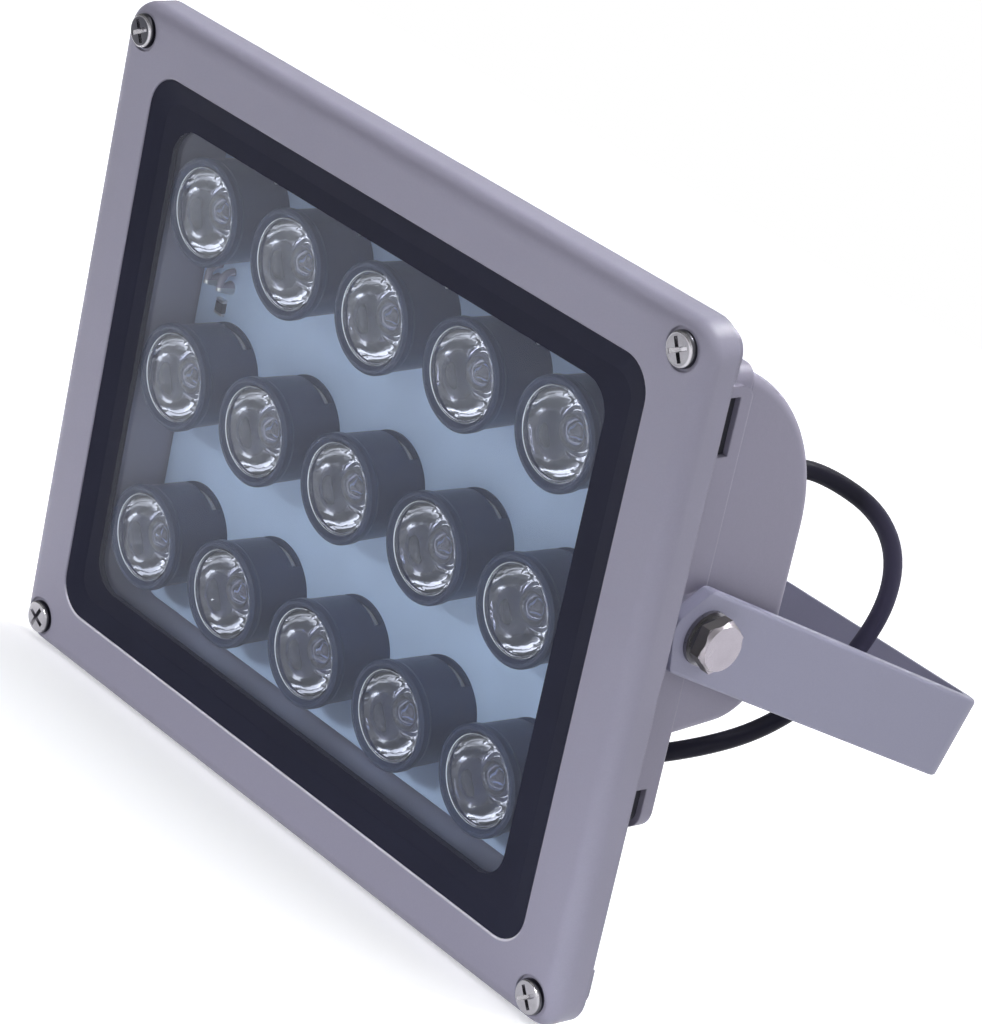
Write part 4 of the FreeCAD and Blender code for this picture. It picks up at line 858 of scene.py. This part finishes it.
def printed_pane():
    window_x, window_z = WINDOW_PLACE
    outer = bridged("printed_pane", rounded_outline(PANE_SIZE, PANE_CORNER, 0.0, PANE_FRONT, 0.0),
                    rounded_outline(WINDOW_SIZE, WINDOW_CORNER, window_x, PANE_FRONT, window_z))
    for edge in outer.data.edges:
        edge.select = all_in_window(outer.data.vertices, edge)
    bpy.ops.object.mode_set(mode="EDIT")
    bpy.ops.mesh.edge_face_add()
    bpy.ops.object.mode_set(mode="OBJECT")
    normals_outward()
    if outer.data.polygons[0].normal.y > 0:
        outer.data.flip_normals()
    painted(outer, pane_glass, border_ink)
    for face in outer.data.polygons:
        face.material_index = 0 if all_in_window(outer.data.vertices, face) else 1
    applied(outer, "thickness", "SOLIDIFY", thickness=PANE_THICK, offset=-1.0)
    set_in_head(outer, 0.0, 0.0, 0.0)
    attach(outer, "lamp_head")
    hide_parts("glass_pane")


printed_pane()

# Sealing bead: feathered out over the print, from just under the bezel's face down to the glass

BEAD_SIZE = (0.1604, 0.1249)
BEAD_CORNER = 0.00745
BEAD_SPREAD = 0.0045
BEAD_TOP = 0.0002
BEAD_CORNER_LOSS = 0.002
BEAD_FOOT_HEIGHT = 0.00003


def feathered_bead():
    inner = (BEAD_SIZE[0] - 2 * BEAD_SPREAD, BEAD_SIZE[1] - 2 * BEAD_SPREAD)
    bead = bridged("feathered_bead", rounded_outline(BEAD_SIZE, BEAD_CORNER, 0.0, BEAD_TOP, 0.0),
                   rounded_outline(inner, BEAD_CORNER - BEAD_CORNER_LOSS, 0.0,
                                   PANE_FRONT - BEAD_FOOT_HEIGHT, 0.0))
    bpy.ops.object.mode_set(mode="EDIT")
    bpy.ops.mesh.select_all(action="SELECT")
    bpy.ops.mesh.extrude_region_move(TRANSFORM_OT_translate={"value": (0, PANE_FRONT, 0)})
    bpy.ops.mesh.select_all(action="DESELECT")
    bpy.ops.object.mode_set(mode="OBJECT")
    for knot in bead.data.vertices:
        knot.co.y = min(knot.co.y, PANE_FRONT)
    normals_outward()
    painted(bead, bead_rubber)
    set_in_head(bead, 0.0, 0.0, 0.0)
    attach(bead, "lamp_head")
    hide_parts("glass_bead")


feathered_bead()

# Strain relief: a short ribbed sleeve that tapers from the gland's mouth onto the lead

RIBS = 4
RIB_PITCH = 1.9
RIB_TAPER = 0.13
GROOVE_TAPER = 0.06
SLEEVE_RINGS = [(2.12, 59.3), (3.35, 59.3)]
for rib in range(RIBS):
    crest, groove = 3.40 - RIB_TAPER * rib, 2.95 - GROOVE_TAPER * rib
    SLEEVE_RINGS += [(radius, depth + RIB_PITCH * rib) for radius, depth in (
        (crest, 60.2), (crest, 61.2), (groove, 61.5), (groove, 61.9))]
SLEEVE_RINGS += [(2.80, 68.4), (2.62, 68.7), (2.5, 68.6)]


def lead_sleeve():
    sleeve = drawn_out("lead_sleeve", SLEEVE_RINGS, 40, hollow=True)
    painted(sleeve, gland_nylon)
    set_in_head(sleeve, GLAND_X, 0.0, GLAND_Z)
    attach(sleeve, "lamp_head")


lead_sleeve()

# Studio

FLOOR_SIZE = 60.0
FLOOR_DROP = 0.0006
FLOOR_TINT = (0.93, 0.93, 0.94, 1)
FLOOR_GLOW = (0.96, 0.97, 1.0, 1)
GLOW_SPAN = (0.05, 0.9)
GLOW_STRENGTH = (0.42, 0.78)


def studio_floor():
    """A pale floor. Its own faint glow, which grows outwards, carries it over into the white backdrop."""
    everything_deselected()
    low = cad_box[0].z - FLOOR_DROP
    bpy.ops.mesh.primitive_plane_add(size=FLOOR_SIZE, location=(0, 0, low))
    floor = bpy.context.object
    floor.name = "studio_floor"
    bpy.ops.object.transform_apply(location=True, rotation=True, scale=True)
    material = bpy.data.materials.new("pale_floor")
    material.use_nodes = True
    tree = material.node_tree
    shader = tree.nodes["Principled BSDF"]
    shader.inputs["Base Color"].default_value = FLOOR_TINT
    shader.inputs["Roughness"].default_value = 0.7
    shader.inputs["Specular IOR Level"].default_value = 0.0
    shader.inputs["Emission Color"].default_value = FLOOR_GLOW
    path = tree.nodes.new("ShaderNodeLightPath")
    seen = sums(tree, "MAXIMUM", path.outputs["Is Camera Ray"], path.outputs["Is Glossy Ray"])
    seen = sums(tree, "MAXIMUM", seen, path.outputs["Is Transmission Ray"])
    away = tree.nodes.new("ShaderNodeVectorMath")
    away.operation = "LENGTH"
    tree.links.new(object_place(tree), away.inputs[0])
    lift = spread(tree, away.outputs["Value"], GLOW_SPAN, GLOW_STRENGTH)
    tree.links.new(sums(tree, "MULTIPLY", seen, lift), shader.inputs["Emission Strength"])
    painted(floor, material)


AMBIENT = 0.57
UNLIT_SIDE = (-0.66, -0.56, 0.50)
UNLIT_SPAN = (0.15, 0.75)
UNLIT_STRENGTH = 0.2


def studio_world():
    """White all round to the camera. On matt surfaces it is plain ambient light, and glossy ones show
    the white backdrop with the studio's unlit side, to the lamp's upper front left."""
    world = bpy.data.worlds.new("studio")
    bpy.context.scene.world = world
    world.use_nodes = True
    tree = world.node_tree
    back = tree.nodes["Background"]
    back.inputs["Color"].default_value = (1.0, 1.0, 1.0, 1)
    path = tree.nodes.new("ShaderNodeLightPath")
    mirrored = sums(tree, "MAXIMUM", path.outputs["Is Glossy Ray"], path.outputs["Is Transmission Ray"])
    towards = tree.nodes.new("ShaderNodeVectorMath")
    towards.operation = "DOT_PRODUCT"
    towards.inputs[1].default_value = UNLIT_SIDE
    tree.links.new(tree.nodes.new("ShaderNodeTexCoord").outputs["Generated"], towards.inputs[0])
    room = spread(tree, towards.outputs["Value"], UNLIT_SPAN, (1.0 - AMBIENT, UNLIT_STRENGTH - AMBIENT))
    strength = sums(tree, "ADD", sums(tree, "MULTIPLY", mirrored, room), AMBIENT)
    tree.links.new(sums(tree, "MAXIMUM", strength, path.outputs["Is Camera Ray"]), back.inputs["Strength"])


OPEN_BEAM = math.pi
NARROW_BEAM = 0.35
SOFT_LAMPS = [  # name, place, aim, size, power in watts and beam
    ("key_softbox", (-0.6, -1.5, 0.9), (0, -0.1, 0), (0.9, 0.9), 0.8, OPEN_BEAM),
    ("side_softbox", (1.4, -0.7, 0.4), (0, -0.1, 0), (0.7, 1.0), 2.5, OPEN_BEAM),
    ("top_softbox", (0.1, -0.1, 1.5), (0, -0.1, 0), (1.5, 1.5), 6.5, OPEN_BEAM),
    ("low_strip", (0.15, -1.0, 0.0), (0.02, -0.10, -0.15), (0.35, 0.08), 0.165, NARROW_BEAM),
    ("top_strip", (0.1, 0.2, 1.1), (0, -0.12, 0.06), (0.4, 0.15), 0.30, NARROW_BEAM),
]


def soft_lamp(name, place, aim, size, power, beam):
    data = bpy.data.lights.new(name, "AREA")
    data.shape = "RECTANGLE"
    data.size, data.size_y = size
    data.energy = power
    data.spread = beam
    lamp = bpy.data.objects.new(name, data)
    bpy.context.scene.collection.objects.link(lamp)
    lamp.location = place
    lamp.rotation_mode = "QUATERNION"
    lamp.rotation_quaternion = (Vector(aim) - Vector(place)).to_track_quat("-Z", "Y")


studio_floor()
studio_world()
for lamp in SOFT_LAMPS:
    soft_lamp(*lamp)
bpy.context.scene.view_settings.view_transform = "Standard"
